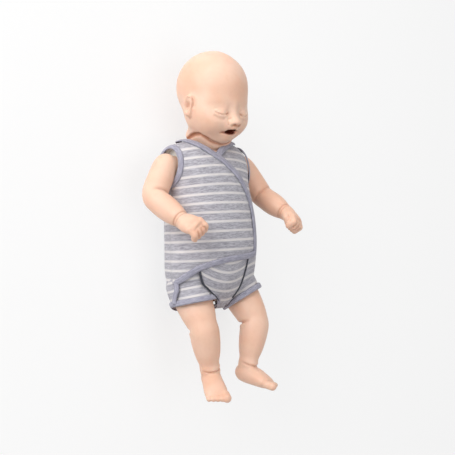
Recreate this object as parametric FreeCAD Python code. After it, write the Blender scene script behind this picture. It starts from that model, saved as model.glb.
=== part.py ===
import FreeCAD, Part
import math
import os
from collections import namedtuple
from FreeCAD import Vector

# An infant training manikin that lies on its back, dressed in a wrap-front suit.
# X points to its left side, Y to the crown and Z to the chest.
# The origin is on the flat of the suit's back, which lies on the floor. Sizes in millimetres.

Station = namedtuple("Station", "y half_width front middle")
Joint = namedtuple("Joint", "point radius")
Bump = namedtuple("Bump", "across up width height rise")

# Cloth
CLOTH = 1.4
CLOTH_GAP = 0.4
BINDING = 1.3
BAND_LIFT = 0.1
BINDING_WIDTH = 10.0
BINDING_BACK = 2.0
HEM_WIDTH = 9.0
BODY = CLOTH + CLOTH_GAP
BACK_CLEAR = 2.0
FAR = 400.0

# Torso, measured over the suit: half width, height of the front and of the widest point
BACK_PRESS = 9.0
COLLAR_Y = 127.0
TORSO = [
    Station(COLLAR_Y, 44.0, 84.0, 54.0),
    Station(122.0, 62.0, 89.0, 55.0),
    Station(111.0, 73.0, 97.0, 57.0),
    Station(97.0, 77.0, 105.0, 59.0),
    Station(78.0, 76.0, 111.0, 61.0),
    Station(60.0, 71.5, 115.0, 63.0),
    Station(40.0, 74.0, 118.0, 65.0),
    Station(15.0, 78.0, 121.0, 66.0),
    Station(-10.0, 79.0, 124.0, 67.0),
    Station(-38.0, 80.0, 125.0, 66.0),
    Station(-64.0, 81.0, 120.0, 64.0),
    Station(-88.0, 81.0, 113.0, 62.0),
    Station(-108.0, 72.0, 106.0, 60.0),
    Station(-126.0, 38.0, 96.0, 60.0),
    Station(-135.0, 16.0, 80.0, 60.0),
]
RING_POINTS = 24
WALL = 2.5
RIM_Z = 62.0
SEAM_Z = 58.0
KEEL_HALF = 11.0

# Neck and head
NECK_HINGE = Vector(0, 117, 56)
NECK_RADIUS = 34.0
NECK_PIN_RADIUS = 4.0
HEAD_CENTRE = Vector(0, 198, 86)
HEAD_PITCH = 17.0
SKIN = 3.0
CRANIUM_CENTRE = (0.0, 14.0, -7.0)
CRANIUM_SIZE = (57.0, 60.0, 67.0)
FACE_CENTRE = (0.0, -23.0, 13.0)
FACE_SIZE = (54.0, 47.0, 51.0)
EYE_ACROSS = 18.0
EYE_UP = -15.0
NOSE_UP = -31.0
MOUTH_UP = -47.0
CHIN_UP = -61.0
MOUTH_WIDTH = 21.0
MOUTH_HEIGHT = 9.5
AIRWAY_RADIUS = 6.5
FACE_HALF = 54.0
FACE_STEP = 4.5
BACK_STEP = 17.0
WINDOW_RADIUS = 38.0
WINDOW_UP = -26.0
WINDOW_DEPTH = 15.0
SKULL_FOOT = 20.0
FUNNEL_BACK = 28.0
FUNNEL_LIP = 45.2
EAR_PLACE = (52.0, -18.0, 13.0)
EAR_SIZE = (6.0, 17.5, 10.0)

# Arms: joint points of the left arm, the right one mirrored with its own wrist
SHOULDER = Vector(80, 86, 57)
SHOULDER_NECK = 18.0
ARM_SEAT = 62.0
ARMHOLE_RADIUS = 28.0
ARM_NECK_RADIUS = 16.0
ELBOW = Vector(111, 38, 66)
WRIST_LEFT = Vector(114, 7, 121)
WRIST_RIGHT = Vector(-97, 0, 122)
HAND_LEFT = Vector(0.05, -0.5, 0.86)
HAND_RIGHT = Vector(0.27, -0.36, 0.9)
ARM_DISC = 21.0
ARM_STUB_DEPTH = 6.0
ARM_BACK = Vector(0.5, 0.7, 0.4)
ARM_THUMB = Vector(-0.8, 0.5, 0.15)
FLANGE_THICKNESS = 3.0

# Legs: joint points of the left leg, the right one mirrored
HIP = Vector(47, -106, 57)
HIP_RADIUS = 31.5
KNEE_LEFT = Vector(56, -170, 100)
KNEE_RIGHT = Vector(-49, -168, 99)
ANKLE_LEFT = Vector(38, -238, 97)
ANKLE_RIGHT = Vector(-38, -235, 95)
TOES_LEFT = Vector(0.32, -0.2, 0.92)
TOES_RIGHT = Vector(-0.42, -0.3, 0.86)
HEM_SHARE = 0.45
HIP_STUB = 10.0
HIP_DISC = 14.0
HIP_STUB_DEPTH = 14.0

# Chest works
CHEST_TRAVEL = 38.0
CHEST_SKIN = 3.0
LUNG_THICKNESS = 2.4
CHEST_PLATE = 3.0
CHEST_HALF = 50.0
CHEST_LOW = -52.0
CHEST_HIGH = 80.0
RIB_COUNT = 5
RIB_WIDTH = 7.0
RIB_DEPTH = 1.2
PISTON_Y = 20.0
PISTON_RADIUS = 9.0
GUIDE_WALL = 2.5
SLIDE_PLAY = 0.06
SPRING_RADIUS = 15.5
SPRING_WIRE = 1.1
SPRING_TURNS = 4.0
SPRING_STEPS = 20
SPRING_SIDES = 12
BOSS_WIDTH = 7.0
BASE_THICKNESS = 3.0
BASE_HALF = 38.0
BASE_LOW = -66.0
BASE_HIGH = 76.0
SCREW_RADIUS = 1.6
SCREW_HEAD = 3.2
BATTERY_RADIUS = 7.1
BATTERY_LENGTH = 49.5
BATTERY_Y = -42.0
TRAY_WALL = 2.0
TRAY_PLAY = 1.0
CELL_GAP = 0.6
CELL_TIP = 1.2
LID_THICKNESS = 1.6
BOARD_Y = 58.0
BOARD_SIZE = (50.0, 26.0, 1.6)
BOARD_LIFT = 4.0
BOSS_Z = 98.0
FIT = 0.3
PIN_PLAY = 0.05
FLOOR_Z = BODY + WALL
BASE_Z = FLOOR_Z + 1.0
PLATE_INSET = BODY + CHEST_SKIN + FIT + LUNG_THICKNESS + FIT
GUIDE_TOP = BOSS_Z - CHEST_TRAVEL + 6.0
PISTON_LOW = BASE_Z + BASE_THICKNESS + CHEST_TRAVEL + 1.0
BASE_SCREWS = [(x * (BASE_HALF - 6), y) for x in (-1, 1) for y in (BASE_LOW + 6, BASE_HIGH - 6)]
BOARD_POSTS = [
    (x * (BOARD_SIZE[0] / 2 - 4), BOARD_Y + y * (BOARD_SIZE[1] / 2 - 4)) for x in (-1, 1) for y in (-1, 1)
]

# How far the joints turn, and the gap that the openings round them leave
HEAD_BACK = 30.0
HEAD_FORWARD = 4.0
LEG_UP = 25.0
NECK_RUN = 1.5
LIMB_RUN = 1.0
LEG_RUN = 2.2

# Edges of the suit's front, seen from above, from its right shoulder round to its left side
NECK_RIGHT = Vector(-42, 132, 0)
NECK_NOTCH = Vector(-9, 105, 0)
NECK_LEFT = Vector(42, 132, 0)
UNDER_NECK = [NECK_NOTCH, Vector(13, 121, 0), NECK_LEFT]
WRAP_EDGE = [
    NECK_RIGHT, NECK_NOTCH, Vector(19, 88, 0),
    Vector(50, 56, 0), Vector(67, 14, 0), Vector(70, -60, 0),
]
WRAP_HEM = [
    Vector(70, -60, 0), Vector(40, -66, 0), Vector(0, -71, 0),
    Vector(-45, -80, 0), Vector(-65, -91, 0), Vector(-90, -112, 0),
]


def mirrored(shape):
    """the same shape on the manikin's right side"""
    return shape.mirror(Vector(0, 0, 0), Vector(1, 0, 0))


def flipped(point):
    """a point of the right side as one of the left"""
    return Vector(-point.x, point.y, point.z)


def unit(v):
    """the direction of a vector"""
    w = Vector(v)
    w.normalize()
    return w


def closed_net(rows):
    """a smooth skin over closed rings of points, with a flat cap on each ring that is left open"""
    count = len(rows)
    around = len(rows[0])
    surface = Part.BSplineSurface()
    surface.buildFromPolesMultsKnots(
        rows,
        [4] + [1] * (count - 4) + [4],
        [1] * (around + 1),
        list(range(count - 2)),
        list(range(around + 1)),
        False,
        True,
        3,
        3,
    )
    side = surface.toShape()
    faces = [side]
    for edge in side.Edges:
        if edge.isClosed() and not edge.isSeam(side) and edge.Length > 0.5:
            faces.append(Part.Face(Part.Wire([edge])))
    solid = Part.Solid(Part.makeShell(faces))
    if not solid.isValid():
        solid.fix(1e-4, 1e-4, 1e-3)
    if solid.Volume < 0:
        solid.reverse()
    return solid


def swell(points):
    """how far a ring's control points stand outside the curve that they make"""
    return 3.0 / (2.0 + math.cos(2 * math.pi / points))


def torso_row(station, inset):
    """one ring of the torso, pulled in by the inset, with its back pressed flat below the floor"""
    out = swell(RING_POINTS)
    width = (station.half_width - inset) * out
    up = (station.front - station.middle - inset) * out
    down = (station.middle + BACK_PRESS) * out
    row = []
    for i in range(RING_POINTS):
        angle = 2 * math.pi * i / RING_POINTS
        high = up if math.sin(angle) > 0 else down
        row.append(Vector(width * math.cos(angle), station.y, station.middle + high * math.sin(angle)))
    return row


def torso(inset):
    """the torso as one solid, pulled in by the inset and flat where it lies on its back"""
    rows = []
    low = TORSO[-1].y + inset
    high = COLLAR_Y - inset
    for station in TORSO:
        if station is TORSO[0]:
            station = station._replace(y=high)
        elif station is TORSO[-1]:
            station = station._replace(y=low)
        elif not low < station.y < high:
            continue
        rows.append(torso_row(station, inset))
    solid = closed_net(rows)
    above = block(-FAR, FAR, -FAR, FAR, inset, FAR)
    return solid.common(above)


def block(x0, x1, y0, y1, z0, z1):
    """an upright block between two corners"""
    return Part.makeBox(x1 - x0, y1 - y0, z1 - z0, Vector(x0, y0, z0))


def rod(start, end, radius):
    """a round bar between two points"""
    along = end - start
    return Part.makeCylinder(radius, along.Length, start, along)


def capsule(start, end, r0, r1):
    """a tapered bar with a ball at each end"""
    along = end - start
    bar = Part.makeCone(r0, r1, along.Length, start, along)
    return bar.fuse([Part.makeSphere(r0, start), Part.makeSphere(r1, end)])


def ellipsoid(centre, along, across, sizes):
    """an ellipsoid with its first size along one direction and its second across it"""
    a = unit(along)
    b = unit(across - a * across.dot(a))
    c = a.cross(b)
    turn = FreeCAD.Matrix(
        a.x * sizes[0], b.x * sizes[1], c.x * sizes[2], centre.x,
        a.y * sizes[0], b.y * sizes[1], c.y * sizes[2], centre.y,
        a.z * sizes[0], b.z * sizes[1], c.z * sizes[2], centre.z,
        0, 0, 0, 1)
    return Part.makeSphere(1.0).transformGeometry(turn)


def limb(joints, side=Vector(1, 0, 0), flat=None, around=16):
    """a limb through its joints; flat gives each one's depth as a share of its width"""
    rows = []
    last = len(joints) - 1
    for k, joint in enumerate(joints):
        before = joints[max(k - 1, 0)].point
        after = joints[min(k + 1, last)].point
        along = unit(after - before)
        across = unit(side - along * side.dot(along))
        deep = along.cross(across)
        share = 1.0 if flat is None else flat[k]
        radius = joint.radius * swell(around)
        row = []
        for i in range(around):
            angle = 2 * math.pi * i / around
            row.append(
                joint.point + across * (radius * math.cos(angle)) + deep * (radius * share * math.sin(angle))
            )
        rows.append(row)
    return closed_net(rows)


def between(a, b, share):
    """the point a share of the way from a to b"""
    return a + (b - a) * share


# Head

BUMPS = [
    Bump(0, NOSE_UP + 17, 5, 9, 4.0),
    Bump(0, NOSE_UP + 1, 5.5, 6, 12.0),
    Bump(6.5, NOSE_UP - 1, 3.5, 3.5, 5.0),
    Bump(EYE_ACROSS, EYE_UP + 1, 10, 7, -6.0),
    Bump(EYE_ACROSS, EYE_UP, 7.5, 4.5, 6.0),
    Bump(EYE_ACROSS, EYE_UP + 14, 11, 6, 2.0),
    Bump(29, -35, 13, 13, 4.0),
    Bump(0, MOUTH_UP + 6, 9, 3.5, 5.0),
    Bump(0, MOUTH_UP - 6, 8.5, 3.5, 5.5),
    Bump(0, CHIN_UP, 9, 6, 4.5),
]


def reach_to_ellipsoid(d, centre, size):
    """how far a ray from the head's centre travels to the ellipsoid's surface"""
    a = sum((d[i] / size[i]) ** 2 for i in range(3))
    b = -sum(centre[i] * d[i] / size[i] ** 2 for i in range(3))
    c = sum((centre[i] / size[i]) ** 2 for i in range(3)) - 1
    return (-b + math.sqrt(max(b * b - a * c, 0.0))) / a


def head_reach(d):
    """distance from the head's centre to its skin: cranium and face in one, then the features"""
    soft = 5.0
    cranium = reach_to_ellipsoid(d, CRANIUM_CENTRE, CRANIUM_SIZE)
    face = reach_to_ellipsoid(d, FACE_CENTRE, FACE_SIZE)
    far = max(cranium, face)
    rolled = math.exp((cranium - far) / soft) + math.exp((face - far) / soft)
    reach = far + soft * math.log(rolled) - soft * math.log(2.0) * 0.7
    if d[2] <= 0:
        return reach
    x, y = d[0] * reach, d[1] * reach
    for bump in BUMPS:
        for side in (1, -1) if bump.across else (1,):
            spread = ((x - side * bump.across) / bump.width) ** 2 + ((y - bump.up) / bump.height) ** 2
            reach += bump.rise * math.exp(-spread / 2)
    return reach


def head_place(x, y, z):
    """a point of the head in the manikin's frame"""
    turn = math.radians(HEAD_PITCH)
    up = y * math.cos(turn) - z * math.sin(turn)
    out = y * math.sin(turn) + z * math.cos(turn)
    return HEAD_CENTRE + Vector(x, up, out)


def head_point(latitude, around, inset):
    """a control point of the head's skin, pulled in by the inset"""
    lat = math.radians(latitude)
    d = (math.cos(lat) * math.sin(around), math.sin(lat), math.cos(lat) * math.cos(around))
    step = FACE_STEP if d[2] > 0.55 else BACK_STEP
    r = (head_reach(d) - inset) * 3.0 / (2.0 + math.cos(math.radians(step)))
    return head_place(d[0] * r, d[1] * r, d[2] * r)


def head_columns():
    """directions round the head, close together over the face"""
    face_count = int(2 * FACE_HALF / FACE_STEP) + 1
    back_count = int((360 - 2 * FACE_HALF) / BACK_STEP)
    front = [-FACE_HALF + 2 * FACE_HALF * i / (face_count - 1) for i in range(face_count)]
    back = [FACE_HALF + (360 - 2 * FACE_HALF) * (i + 1) / (back_count + 1) for i in range(back_count)]
    return [math.radians(a) for a in front + back]


def neck_ring(centre, along, radius, columns):
    """a ring of the neck, with a point in each of the head's columns"""
    deep = unit(Vector(0, 0, 1) - along * along.z)
    across = Vector(1, 0, 0)
    return [centre + across * (radius * math.sin(a)) + deep * (radius * math.cos(a)) for a in columns]


def head_solid(inset):
    """the head and its neck down to the hinge, pulled in by the inset"""
    columns = head_columns()
    jaw = head_place(0, -60, 2)
    along = unit(jaw - NECK_HINGE)
    neck = NECK_RADIUS - inset
    length = (jaw - NECK_HINGE).Length
    rows = []
    for share in (0.0, 0.15, 0.35, 0.6):
        rows.append(neck_ring(NECK_HINGE + along * (length * share), along, neck, columns))
    rows.append(neck_ring(NECK_HINGE + along * (length * 0.85), along, neck + 1, columns))
    for latitude in (-54, -47, -41, -35, -29, -23, -17, -11, -5, 3, 13, 25, 39, 54, 69, 81):
        rows.append([head_point(latitude, a, inset) for a in columns])
    rows.append([head_point(90, 0, inset)] * len(columns))
    return closed_net(rows)


def ear(side):
    """an outer ear: a tilted rim with a hollow inside it"""
    across, high, forward = EAR_PLACE
    centre = head_place(side * across, high, forward)
    out = Vector(side, 0, -0.35)
    up = head_place(0, 1, 0) - head_place(0, 0, 0)
    deep, tall, wide = EAR_SIZE
    rim = ellipsoid(centre, out, up, EAR_SIZE)
    bowl = ellipsoid(centre + unit(out) * deep, out, up, (deep * 0.6, tall * 0.66, wide * 0.58))
    return rim.cut(bowl)


def mouth_cutter(width, height, depth_from, depth_to):
    """an oval bar through the mouth"""
    centre = head_place(0, MOUTH_UP, depth_from)
    end = head_place(0, MOUTH_UP, depth_to)
    along = end - centre
    up = unit(head_place(0, 1, 0) - head_place(0, 0, 0))
    oval = Part.Ellipse(
        centre + Vector(1, 0, 0) * (width / 2),
        centre + up * (height / 2),
        centre,
    )
    return Part.Face(Part.Wire([oval.toShape()])).extrude(along)


def make_head():
    """head_skin: the soft hood with the face, ears, neck and open mouth, hollow inside"""
    outer = head_solid(0.0)
    ball = Part.makeSphere(NECK_RADIUS, NECK_HINGE)
    outer = outer.fuse([ball, ear(1), ear(-1)])
    hollow = head_solid(SKIN).fuse(Part.makeSphere(NECK_RADIUS - SKIN, NECK_HINGE))
    skin = outer.cut(hollow)
    skin = skin.cut(mouth_cutter(MOUTH_WIDTH, MOUTH_HEIGHT, 40, 80))
    return skin.cut(pin_bore(0.5))


def pin_bore(play):
    """the bar that the neck pin's hole is cut with"""
    half = NECK_RADIUS + 26
    return rod(NECK_HINGE - Vector(half, 0, 0), NECK_HINGE + Vector(half, 0, 0), NECK_PIN_RADIUS + play)


def largest(shape):
    """the largest solid of a shape"""
    return max(shape.Solids, key=lambda solid: solid.Volume)


def both(shape):
    """a shape and its mirror image"""
    return [shape, mirrored(shape)]


# Room that the moving parts sweep


def neck_room(extra=0.0):
    """the space round the neck from its forward to its backward limit"""
    radius = NECK_RADIUS + NECK_RUN + extra
    jaw = head_place(0, -60, 2)
    rest = jaw - NECK_HINGE
    room = [Part.makeSphere(radius, NECK_HINGE)]
    for turn in (HEAD_FORWARD, 0.0, -HEAD_BACK / 3, -2 * HEAD_BACK / 3, -HEAD_BACK):
        along = FreeCAD.Rotation(Vector(1, 0, 0), turn).multVec(rest)
        room.append(rod(NECK_HINGE, NECK_HINGE + unit(along) * 60, radius))
    return room[0].fuse(room[1:])


def leg_rooms(extra=0.0):
    """the spaces that the legs and their cloth sweep, past the hip balls"""
    thigh = KNEE_LEFT - HIP
    rest = math.degrees(math.atan2(thigh.z, -thigh.y))
    radius = HIP_RADIUS + BODY + LEG_RUN + extra
    up = math.radians(rest + LEG_UP)
    along = Vector(0, -math.cos(up), math.sin(up))
    off = Vector(0, math.sin(up), math.cos(up))
    start = Vector(KEEL_HALF + LIMB_RUN, HIP.y, HIP.z)
    top = start + off * radius
    corners = [
        top,
        top + along * 70,
        Vector(start.x, start.y - 160, (top + along * 70).z),
        Vector(start.x, start.y - 160, start.z - radius),
        Vector(start.x, start.y, start.z - radius),
    ]
    wedge = Part.Face(Part.makePolygon(corners + corners[:1])).extrude(Vector(90, 0, 0))
    return both(wedge) + both(Part.makeSphere(radius + 0.2, HIP))


def arm_room(radius, seat):
    """the round space in the torso's side that one arm turns in"""
    return rod(Vector(seat, SHOULDER.y, SHOULDER.z), Vector(140, SHOULDER.y, SHOULDER.z), radius)


# Torso shell, made once as one moulding

def make_back_shell():
    """the hard tub of the back, with shoulder seats, neck ears, hip pockets and the keel between the legs"""
    outer = torso(BODY)
    hollow = torso(BODY + WALL)
    seat = ARM_SEAT - LIMB_RUN
    tub = outer.common(block(-FAR, FAR, -100, FAR, -1, RIM_Z))
    hollow = hollow.cut(both(arm_room(ARMHOLE_RADIUS + CLOTH + WALL, seat - WALL)))
    tub = tub.cut(hollow)
    cheek = rod(
        Vector(seat - WALL, SHOULDER.y, SHOULDER.z), Vector(seat, SHOULDER.y, SHOULDER.z), ARMHOLE_RADIUS
    ).common(outer)
    keel = block(-KEEL_HALF, KEEL_HALF, -140, -68, 0, HIP.z + 36).common(outer)
    pocket = Part.makeSphere(HIP_RADIUS + BODY + LEG_RUN + WALL, HIP)
    pocket = pocket.common(outer).common(block(0, FAR, -98, FAR, 0, RIM_Z))
    beside_neck = NECK_RADIUS + NECK_RUN
    ear = block(beside_neck + 0.5, beside_neck + 4.5, 96, 122, 10, 67).common(outer)
    tub = tub.fuse([keel] + both(cheek) + both(pocket) + both(ear))
    tub = tub.cut(leg_rooms() + both(arm_room(ARMHOLE_RADIUS + CLOTH, seat)) + [neck_room()])
    keel_hollow = block(-KEEL_HALF + WALL, KEEL_HALF - WALL, -126, -60, BODY + WALL, HIP.z + 31)
    hip = Vector(0, HIP.y, HIP.z)
    shoulder = Vector(40, SHOULDER.y, SHOULDER.z)
    bores = [
        rod(hip, hip + Vector(KEEL_HALF + 5, 0, 0), HIP_STUB + PIN_PLAY),
        rod(shoulder, shoulder + Vector(40, 0, 0), ARM_NECK_RADIUS + PIN_PLAY),
        pin_bore(PIN_PLAY).common(block(20, FAR, -FAR, FAR, -FAR, FAR)),
    ]
    tub = tub.cut([keel_hollow] + [b for bore in bores for b in both(bore)])
    bosses = [rod(Vector(x, y, BODY + 0.5), Vector(x, y, FLOOR_Z + 1.0), SCREW_HEAD) for x, y in BASE_SCREWS]
    return largest(tub.fuse(bosses))


def make_chest_skin():
    """the soft cover over the chest, from one side of the tub to the other"""
    cover = torso(BODY).cut(torso(BODY + CHEST_SKIN))
    cover = cover.common(block(-FAR, FAR, -FAR, FAR, RIM_Z + FIT, FAR))
    seat = ARM_SEAT - LIMB_RUN - WALL - FIT
    holes = both(arm_room(ARMHOLE_RADIUS + CLOTH + 1.0, seat)) + leg_rooms(FIT) + [neck_room(1.0)]
    keel = block(-KEEL_HALF - FIT, KEEL_HALF + FIT, -140, -68, 0, HIP.z + 36 + FIT)
    return largest(cover.cut(holes + [keel]))


def plate_outline(half, low, high, corner):
    """an upright bar with rounded corners, to cut a plate out of the torso's skin"""
    bar = block(-half, half, low, high, 60, 200)
    return bar.makeFillet(corner, [e for e in bar.Edges if abs(e.BoundBox.ZLength - 140) < 1e-6])


def make_chest_plate():
    """the ribbed plate under the hand, with the spring's seat and the guide's plunger"""
    top = torso(PLATE_INSET)
    plate = top.cut(torso(PLATE_INSET + CHEST_PLATE))
    plate = plate.common(plate_outline(CHEST_HALF, CHEST_LOW, CHEST_HIGH, 14))
    pitch = (CHEST_HIGH - CHEST_LOW) / (RIB_COUNT + 1)
    shallow = top.cut(torso(PLATE_INSET + RIB_DEPTH))
    grooves = []
    for i in range(RIB_COUNT):
        y = CHEST_LOW + pitch * (i + 1)
        for x in (-CHEST_HALF + 6, 9):
            slot = block(x, x + CHEST_HALF - 15, y - RIB_WIDTH / 2, y + RIB_WIDTH / 2, 60, 200)
            grooves.append(shallow.common(slot))
    plate = plate.cut(grooves)
    centre = Vector(0, PISTON_Y, 0)
    inside = torso(PLATE_INSET + CHEST_PLATE / 2)
    ring = Part.makeCylinder(SPRING_RADIUS + BOSS_WIDTH / 2, 40, centre + Vector(0, 0, BOSS_Z))
    ring = ring.cut(Part.makeCylinder(SPRING_RADIUS - BOSS_WIDTH / 2 + 1, 40, centre + Vector(0, 0, BOSS_Z)))
    plunger = Part.makeCylinder(PISTON_RADIUS, 100, centre + Vector(0, 0, PISTON_LOW))
    plunger = plunger.cut(Part.makeCylinder(PISTON_RADIUS - 2.0, 55, centre + Vector(0, 0, PISTON_LOW)))
    return largest(plate.fuse([ring.common(inside), plunger.common(inside)]))


def make_lung_bag():
    """the flat bag that fills under the chest cover, with its neck towards the throat"""
    layer = torso(BODY + CHEST_SKIN + FIT).cut(torso(BODY + CHEST_SKIN + FIT + LUNG_THICKNESS))
    bag = layer.common(plate_outline(34, -30, 58, 16))
    neck = layer.common(block(-9, 9, 50, 79, 60, 200))
    return largest(bag.fuse(neck))


def make_base_plate():
    """the plate on the tub's floor that carries the guide, the spring and the battery tray"""
    low = BASE_Z
    plate = block(-BASE_HALF, BASE_HALF, BASE_LOW, BASE_HIGH, low, low + BASE_THICKNESS)
    plate = plate.makeFillet(8, [e for e in plate.Edges if abs(e.BoundBox.ZLength - BASE_THICKNESS) < 1e-6])
    centre = Vector(0, PISTON_Y, low)
    guide = Part.makeCylinder(PISTON_RADIUS + SLIDE_PLAY + GUIDE_WALL, GUIDE_TOP - low, centre)
    posts = [
        Part.makeCylinder(2.5, BOARD_LIFT, Vector(x, y, low + BASE_THICKNESS)) for x, y in BOARD_POSTS
    ]
    plate = plate.fuse([guide] + posts)
    bore = Part.makeCylinder(PISTON_RADIUS + SLIDE_PLAY, GUIDE_TOP, centre + Vector(0, 0, BASE_THICKNESS))
    holes = []
    for x, y in BASE_SCREWS:
        holes.append(Part.makeCylinder(SCREW_RADIUS + 0.2, BASE_THICKNESS + 2, Vector(x, y, low - 1)))
    return plate.cut([bore] + holes)


def make_circuit_board():
    """the board that counts the presses, with its chips and connector"""
    length, width, thick = BOARD_SIZE
    z = BASE_Z + BASE_THICKNESS + BOARD_LIFT
    board = block(-length / 2, length / 2, BOARD_Y - width / 2, BOARD_Y + width / 2, z, z + thick)
    chips = [
        block(-14, -4, BOARD_Y - 5, BOARD_Y + 5, z + thick, z + thick + 1.4),
        block(4, 10, BOARD_Y - 4, BOARD_Y + 2, z + thick, z + thick + 1.2),
        block(14, 21, BOARD_Y - 6, BOARD_Y + 6, z + thick, z + thick + 5.0),
    ]
    return board.fuse(chips)


def screw(point, length):
    """a pan-head screw whose head sits on the point, driven down"""
    head = Part.makeCylinder(SCREW_HEAD, 2.0, point)
    slot = block(point.x - 2, point.x + 2, point.y - 0.5, point.y + 0.5, point.z + 1.2, point.z + 3)
    cross = block(point.x - 0.5, point.x + 0.5, point.y - 2, point.y + 2, point.z + 1.2, point.z + 3)
    shank = Part.makeCylinder(SCREW_RADIUS, length, point - Vector(0, 0, length))
    return head.cut([slot, cross]).fuse(shank)


def make_base_screws():
    """the four screws of the base plate, as one group"""
    z = BASE_Z + BASE_THICKNESS
    return Part.Compound([screw(Vector(x, y, z), BASE_THICKNESS) for x, y in BASE_SCREWS])


def make_spring():
    """the coil spring that lifts the chest"""
    low = BASE_Z + BASE_THICKNESS + SPRING_WIRE + FIT
    high = BOSS_Z - SPRING_WIRE - FIT
    pitch = (high - low) / SPRING_TURNS
    coil = []
    for i in range(int(SPRING_TURNS * SPRING_STEPS) + 1):
        angle = 2 * math.pi * i / SPRING_STEPS
        x, y = SPRING_RADIUS * math.cos(angle), PISTON_Y + SPRING_RADIUS * math.sin(angle)
        coil.append(Vector(x, y, low + pitch * i / SPRING_STEPS))
    along = unit(coil[1] - coil[0])
    out = unit(Vector(1, 0, 0) - along * along.x)
    up = along.cross(out)
    corners = []
    for i in range(SPRING_SIDES + 1):
        angle = 2 * math.pi * i / SPRING_SIDES
        corners.append(coil[0] + out * (SPRING_WIRE * math.cos(angle)) + up * (SPRING_WIRE * math.sin(angle)))
    return Part.makePolygon(coil).makePipeShell([Part.makePolygon(corners)], True, True, 1)


def make_battery_tray():
    """the open box for two cells, side by side on the base plate"""
    half = BATTERY_LENGTH / 2 + TRAY_PLAY
    reach = 2 * BATTERY_RADIUS + CELL_GAP
    low = BASE_Z + BASE_THICKNESS
    high = low + TRAY_WALL + 2 * BATTERY_RADIUS + TRAY_PLAY
    side, end = half + TRAY_WALL, reach + TRAY_WALL
    outer = block(-side, side, BATTERY_Y - end, BATTERY_Y + end, low, high)
    inner = block(-half, half, BATTERY_Y - reach, BATTERY_Y + reach, low + TRAY_WALL, high + 1)
    return outer.cut(inner)


def battery_z():
    """the height of the cells' axes"""
    return BASE_Z + BASE_THICKNESS + TRAY_WALL + BATTERY_RADIUS


def make_batteries():
    """two cells lying side by side, each with its end cap"""
    cells = []
    for side in (-1, 1):
        y = BATTERY_Y + side * (BATTERY_RADIUS + 0.2)
        start = Vector(-side * BATTERY_LENGTH / 2, y, battery_z())
        along = Vector(side, 0, 0)
        can = Part.makeCylinder(BATTERY_RADIUS, BATTERY_LENGTH - CELL_TIP, start, along)
        tip = Part.makeCylinder(2.6, CELL_TIP, start + along * (BATTERY_LENGTH - CELL_TIP), along)
        cells.append(can.fuse(tip))
    return Part.Compound(cells)


def make_battery_lid():
    """the tray's lid, with a finger tab"""
    half = BATTERY_LENGTH / 2 + TRAY_PLAY + TRAY_WALL
    reach = 2 * BATTERY_RADIUS + CELL_GAP + TRAY_WALL
    low = battery_z() + BATTERY_RADIUS + TRAY_PLAY
    high = low + LID_THICKNESS
    lid = block(-half, half, BATTERY_Y - reach, BATTERY_Y + reach, low, high)
    tab = block(-7, 7, BATTERY_Y + reach, BATTERY_Y + reach + 3, low, high)
    ridge = [block(-6, 6, BATTERY_Y + y, BATTERY_Y + y + 1, high, high + 0.6) for y in (4, 6.5, 9)]
    return lid.fuse([tab] + ridge)


# Inside the head

def make_skull():
    """the hard shell inside the hood, open over the face and below, on the neck pin"""
    inset = SKIN + FIT
    outer = head_solid(inset).fuse(Part.makeSphere(NECK_RADIUS - inset, NECK_HINGE))
    inner = head_solid(inset + WALL).fuse(Part.makeSphere(NECK_RADIUS - inset - WALL, NECK_HINGE))
    centre = head_place(0, WINDOW_UP, WINDOW_DEPTH)
    out = unit(head_place(0, 0, 1) - head_place(0, 0, 0))
    window = Part.makeCylinder(WINDOW_RADIUS, 90, centre, out)
    y, z = NECK_HINGE.y, NECK_HINGE.z
    foot = block(-SKULL_FOOT, SKULL_FOOT, y - 60, y - 14, z - SKULL_FOOT, z + SKULL_FOOT)
    return largest(outer.cut(inner).cut([window, foot, pin_bore(PIN_PLAY)]))


def make_mouth_funnel():
    """the mouth's hard insert, which leads the breath from the lips to the airway tube"""
    rim = mouth_cutter(MOUTH_WIDTH + 6, MOUTH_HEIGHT + 6, FUNNEL_LIP, FUNNEL_LIP + 4)
    body = mouth_cutter(MOUTH_WIDTH + 1, MOUTH_HEIGHT + 1, FUNNEL_BACK, FUNNEL_LIP + 2)
    hole = mouth_cutter(MOUTH_WIDTH - 2, MOUTH_HEIGHT - 1, FUNNEL_BACK - 4, FUNNEL_LIP + 14)
    return rim.fuse(body).cut(hole)


def make_airway_tube():
    """the tube from the mouth insert back and down the throat"""
    start = head_place(0, MOUTH_UP, FUNNEL_BACK - 0.5)
    throat = head_place(0, MOUTH_UP, 6)
    end = NECK_HINGE + Vector(0, 14, 4)
    a = unit(throat - start)
    b = unit(end - throat)
    turn = math.acos(a.dot(b))
    radius = 14.0
    cut = radius * math.tan(turn / 2)
    p, q = throat - a * cut, throat + b * cut
    middle = throat + unit(b - a) * (radius / math.cos(turn / 2) - radius)
    bend = Part.Arc(p, middle, q).toShape()
    path = Part.Wire([Part.makeLine(start, p), bend, Part.makeLine(q, end)])
    walls = []
    for r in (AIRWAY_RADIUS, AIRWAY_RADIUS - 1.5):
        section = Part.Wire([Part.Circle(start, a, r).toShape()])
        walls.append(path.makePipeShell([section], True, True))
    return walls[0].cut(walls[1])


def make_neck_pin():
    """the pin that the head nods on, held in the tub's two ears"""
    half = NECK_RADIUS + NECK_RUN + 4.5
    y, z = NECK_HINGE.y, NECK_HINGE.z
    return rod(Vector(-half, y, z), Vector(half, y, z), NECK_PIN_RADIUS)


# Limbs

def finger(root, first, second, lengths, radii):
    """a curled finger of two bones"""
    knuckle = root + unit(first) * lengths[0]
    tip = knuckle + unit(second) * lengths[1]
    return capsule(root, knuckle, radii[0], radii[1]).fuse(capsule(knuckle, tip, radii[1], radii[2]))


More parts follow.
